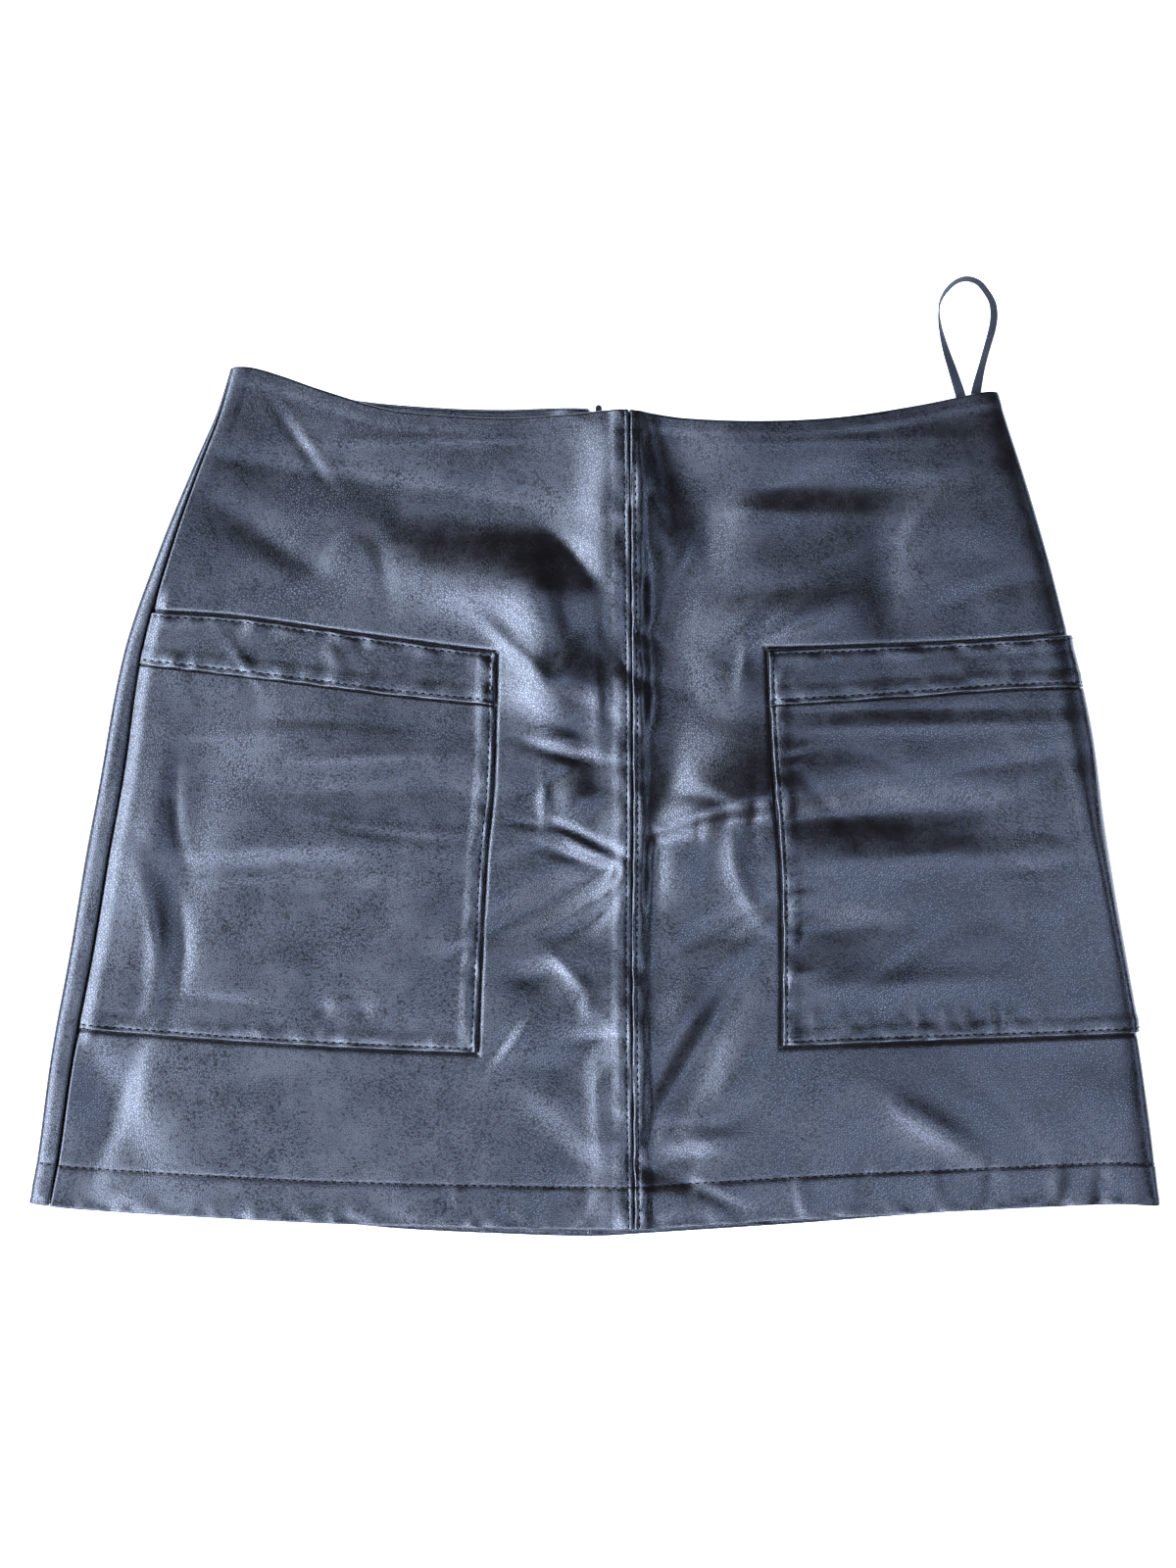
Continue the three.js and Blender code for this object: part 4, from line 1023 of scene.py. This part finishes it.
# Zip tapes and coil
for side, sign in (("left", -1), ("right", 1)):
    foot = lambda x: np.full_like(x, float(backWaist(0)) - zipLook["length"] - zipLook["tapeFoot"])
    head = shifted(backWaist, -zipLook["tapeHead"])
    first, last = sorted((sign * zipLook["tapeFrom"], sign * zipLook["tapeTo"]))
    x, y = lineNet(runs((shifted(centreBack, first), None), (shifted(centreBack, last), (10, 1.3))),
                   runs((foot, None), (head, (162, 3))))
    points = stacked(x, y, np.full_like(x, zipLook["tapeLow"] + zipLook["tapeThick"]) + 0.05 * middleWave(x, y))
    clothPiece(
        "zip_tape_" + side + "_cloth", points, zipLook["tapeThick"], tapeCloth,
        ["zip_tape_" + side],
    )
teeth = []
low = float(backWaist(0)) - zipLook["length"]
for tooth in range(int(zipLook["coilLong"] / zipLook["toothPitch"])):
    toothY = low + tooth * zipLook["toothPitch"]
    for sign in (-1, 1):
        shift = 0.5 * zipLook["toothPitch"] if sign > 0 else 0
        toothX = float(centreBack(toothY)) + sign * zipLook["toothSide"]
        place = Vector((toothX, toothY + shift, zipLook["toothHeight"])) * mm
        halves = [zipLook[key] / 2 for key in ("toothLong", "toothWide", "toothHigh")]
        size = Matrix.Diagonal(halves).to_4x4()
        teeth.append(Matrix.Translation(place) @ Matrix.Scale(mm, 4) @ size)
coil = smallRounds("zip_coil", teeth, tapeCloth, 8, 5)
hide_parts("zip_chain")
print("zip done")

for nodeName in ("zip_slider", "zip_pull_tab"):
    cadPiece = bpy.data.objects.get(nodeName)
    cadPiece.data.materials.clear()
    cadPiece.data.materials.append(enamel)

# The thin floor of the pull tab's window
tabWindow = {"x": 2.3, "y": 167.9, "height": 1.0, "halfWide": 0.75, "halfLong": 2.05, "thick": 0.35}
tabPlace = Matrix.Translation(Vector((tabWindow["x"], tabWindow["y"], tabWindow["height"])) * mm)
tabSize = Matrix.Diagonal((tabWindow["halfWide"] * mm, tabWindow["halfLong"] * mm, tabWindow["thick"] * mm, 1))
bm = bmesh.new()
bmesh.ops.create_cone(bm, cap_ends=True, segments=28, radius1=1, radius2=1, depth=1, matrix=tabPlace @ tabSize)
tabMesh = bpy.data.meshes.new("pull_tab_web")
bm.to_mesh(tabMesh)
bm.free()
tabMesh.materials.append(enamel)
tabWeb = bpy.data.objects.new("pull_tab_web", tabMesh)
bpy.context.scene.collection.objects.link(tabWeb)
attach(tabWeb, "pull_tab")

stitchFrames = [place for points, normals in allRows for place in stitchPlaces(points, normals)]
smallRounds("topstitching", stitchFrames, thread)
print("stitches done")

# White paper under the skirt, and a room of soft bright patches round the dark shape of the photographer
light = {
    "paperGlow": 1.0, "strength": 1.0, "room": 0.03, "roomColour": "#b4ccff", "softFrom": 1.15,
    "softTo": 0.35, "lowestView": 0.05, "floorSize": 3, "floorLevel": -0.0001,
}
# Each patch: its place and reach sideways and upwards as shares of its height, its strength and colour
skyPatches = [
    (-1.10, -0.10, 0.96, 1.60, 15.0, "#cfdfff"), (-0.35, -1.05, 0.96, 0.90, 11.0, "#ccdbff"),
    (0.20, -0.15, 0.37, 0.235, 4.8, "#b9d0ff"), (-0.17, 0.17, 0.11, 0.09, 9.0, "#b9d0ff"),
    (-0.11, -0.17, 0.16, 0.12, -5.0, "#cfdfff"), (1.45, -0.20, 0.34, 0.80, 7.0, "#b9d0ff"),
]
floorMesh = bpy.data.meshes.new("floor")
bm = bmesh.new()
bmesh.ops.create_grid(bm, x_segments=1, y_segments=1, size=light["floorSize"])
bm.to_mesh(floorMesh)
bm.free()
floor = bpy.data.objects.new("floor", floorMesh)
floor.location.z = light["floorLevel"]
# White paper, lit so evenly that it shows no shade
paper = plainMaterial("paper, white", "#f4f4f4", 0.9)
paperShader = paper.node_tree.nodes["Principled BSDF"]
paperShader.inputs["Emission Color"].default_value = linear("#ffffff")
paperShader.inputs["Emission Strength"].default_value = light["paperGlow"]
floorMesh.materials.append(paper)
bpy.context.scene.collection.objects.link(floor)

world = bpy.data.worlds.new("room")
world.use_nodes = True
tree = world.node_tree
background = tree.nodes["Background"]
way = node(tree, "ShaderNodeSeparateXYZ", i0=node(tree, "ShaderNodeTexCoord").outputs["Generated"])
up = node(tree, "ShaderNodeMath", {"operation": "MAXIMUM"}, i0=way.outputs["Z"], i1=light["lowestView"])
sideways = node(tree, "ShaderNodeMath", {"operation": "DIVIDE"}, i0=way.outputs["X"], i1=up.outputs[0])
forwards = node(tree, "ShaderNodeMath", {"operation": "DIVIDE"}, i0=way.outputs["Y"], i1=up.outputs[0])
seen = node(tree, "ShaderNodeCombineXYZ", X=sideways.outputs[0], Y=forwards.outputs[0])
roomColour = [c * light["room"] for c in linear(light["roomColour"])[:3]]


def vectorMath(operation, **inputs):
    return node(tree, "ShaderNodeVectorMath", {"operation": operation}, **inputs)


total = vectorMath("ADD", i0=roomColour, i1=(0, 0, 0)).outputs[0]
for patchX, patchY, reachX, reachY, strength, colour in skyPatches:
    fromIt = vectorMath("SUBTRACT", i0=seen.outputs[0], i1=(patchX, patchY, 0))
    scaled = vectorMath("DIVIDE", i0=fromIt.outputs[0], i1=(reachX, reachY, 1))
    far = vectorMath("LENGTH", i0=scaled.outputs[0])
    share = node(tree, "ShaderNodeMapRange", {"interpolation_type": "SMOOTHERSTEP"}, Value=far.outputs["Value"])
    share.inputs["From Min"].default_value = light["softFrom"]
    share.inputs["From Max"].default_value = light["softTo"]
    share.inputs["To Max"].default_value = strength
    tint = vectorMath("SCALE", i0=linear(colour)[:3], Scale=share.outputs[0])
    total = vectorMath("ADD", i0=total, i1=tint.outputs[0]).outputs[0]
total = vectorMath("MAXIMUM", i0=total, i1=(0, 0, 0)).outputs[0]
tree.links.new(total, background.inputs["Color"])
background.inputs["Strength"].default_value = light["strength"]
bpy.context.scene.world = world

# Camera straight above, in metres for its height and the frame, and millimetres for the rest
view = {"cameraHeight": 1.2, "frameHeight": 0.7619, "x": -2.86, "y": -13.8, "skirtHeight": 5, "sensor": 36}
lens = bpy.data.cameras.new("overhead camera")
lens.sensor_fit = "VERTICAL"
lens.sensor_height = view["sensor"]
lens.lens = view["sensor"] * view["cameraHeight"] / view["frameHeight"]
camera = bpy.data.objects.new("overhead camera", lens)
camera.location = (view["x"] * mm, view["y"] * mm, view["skirtHeight"] * mm + view["cameraHeight"])
bpy.context.scene.collection.objects.link(camera)
bpy.context.scene.camera = camera
bpy.context.scene.view_settings.view_transform = "Standard"
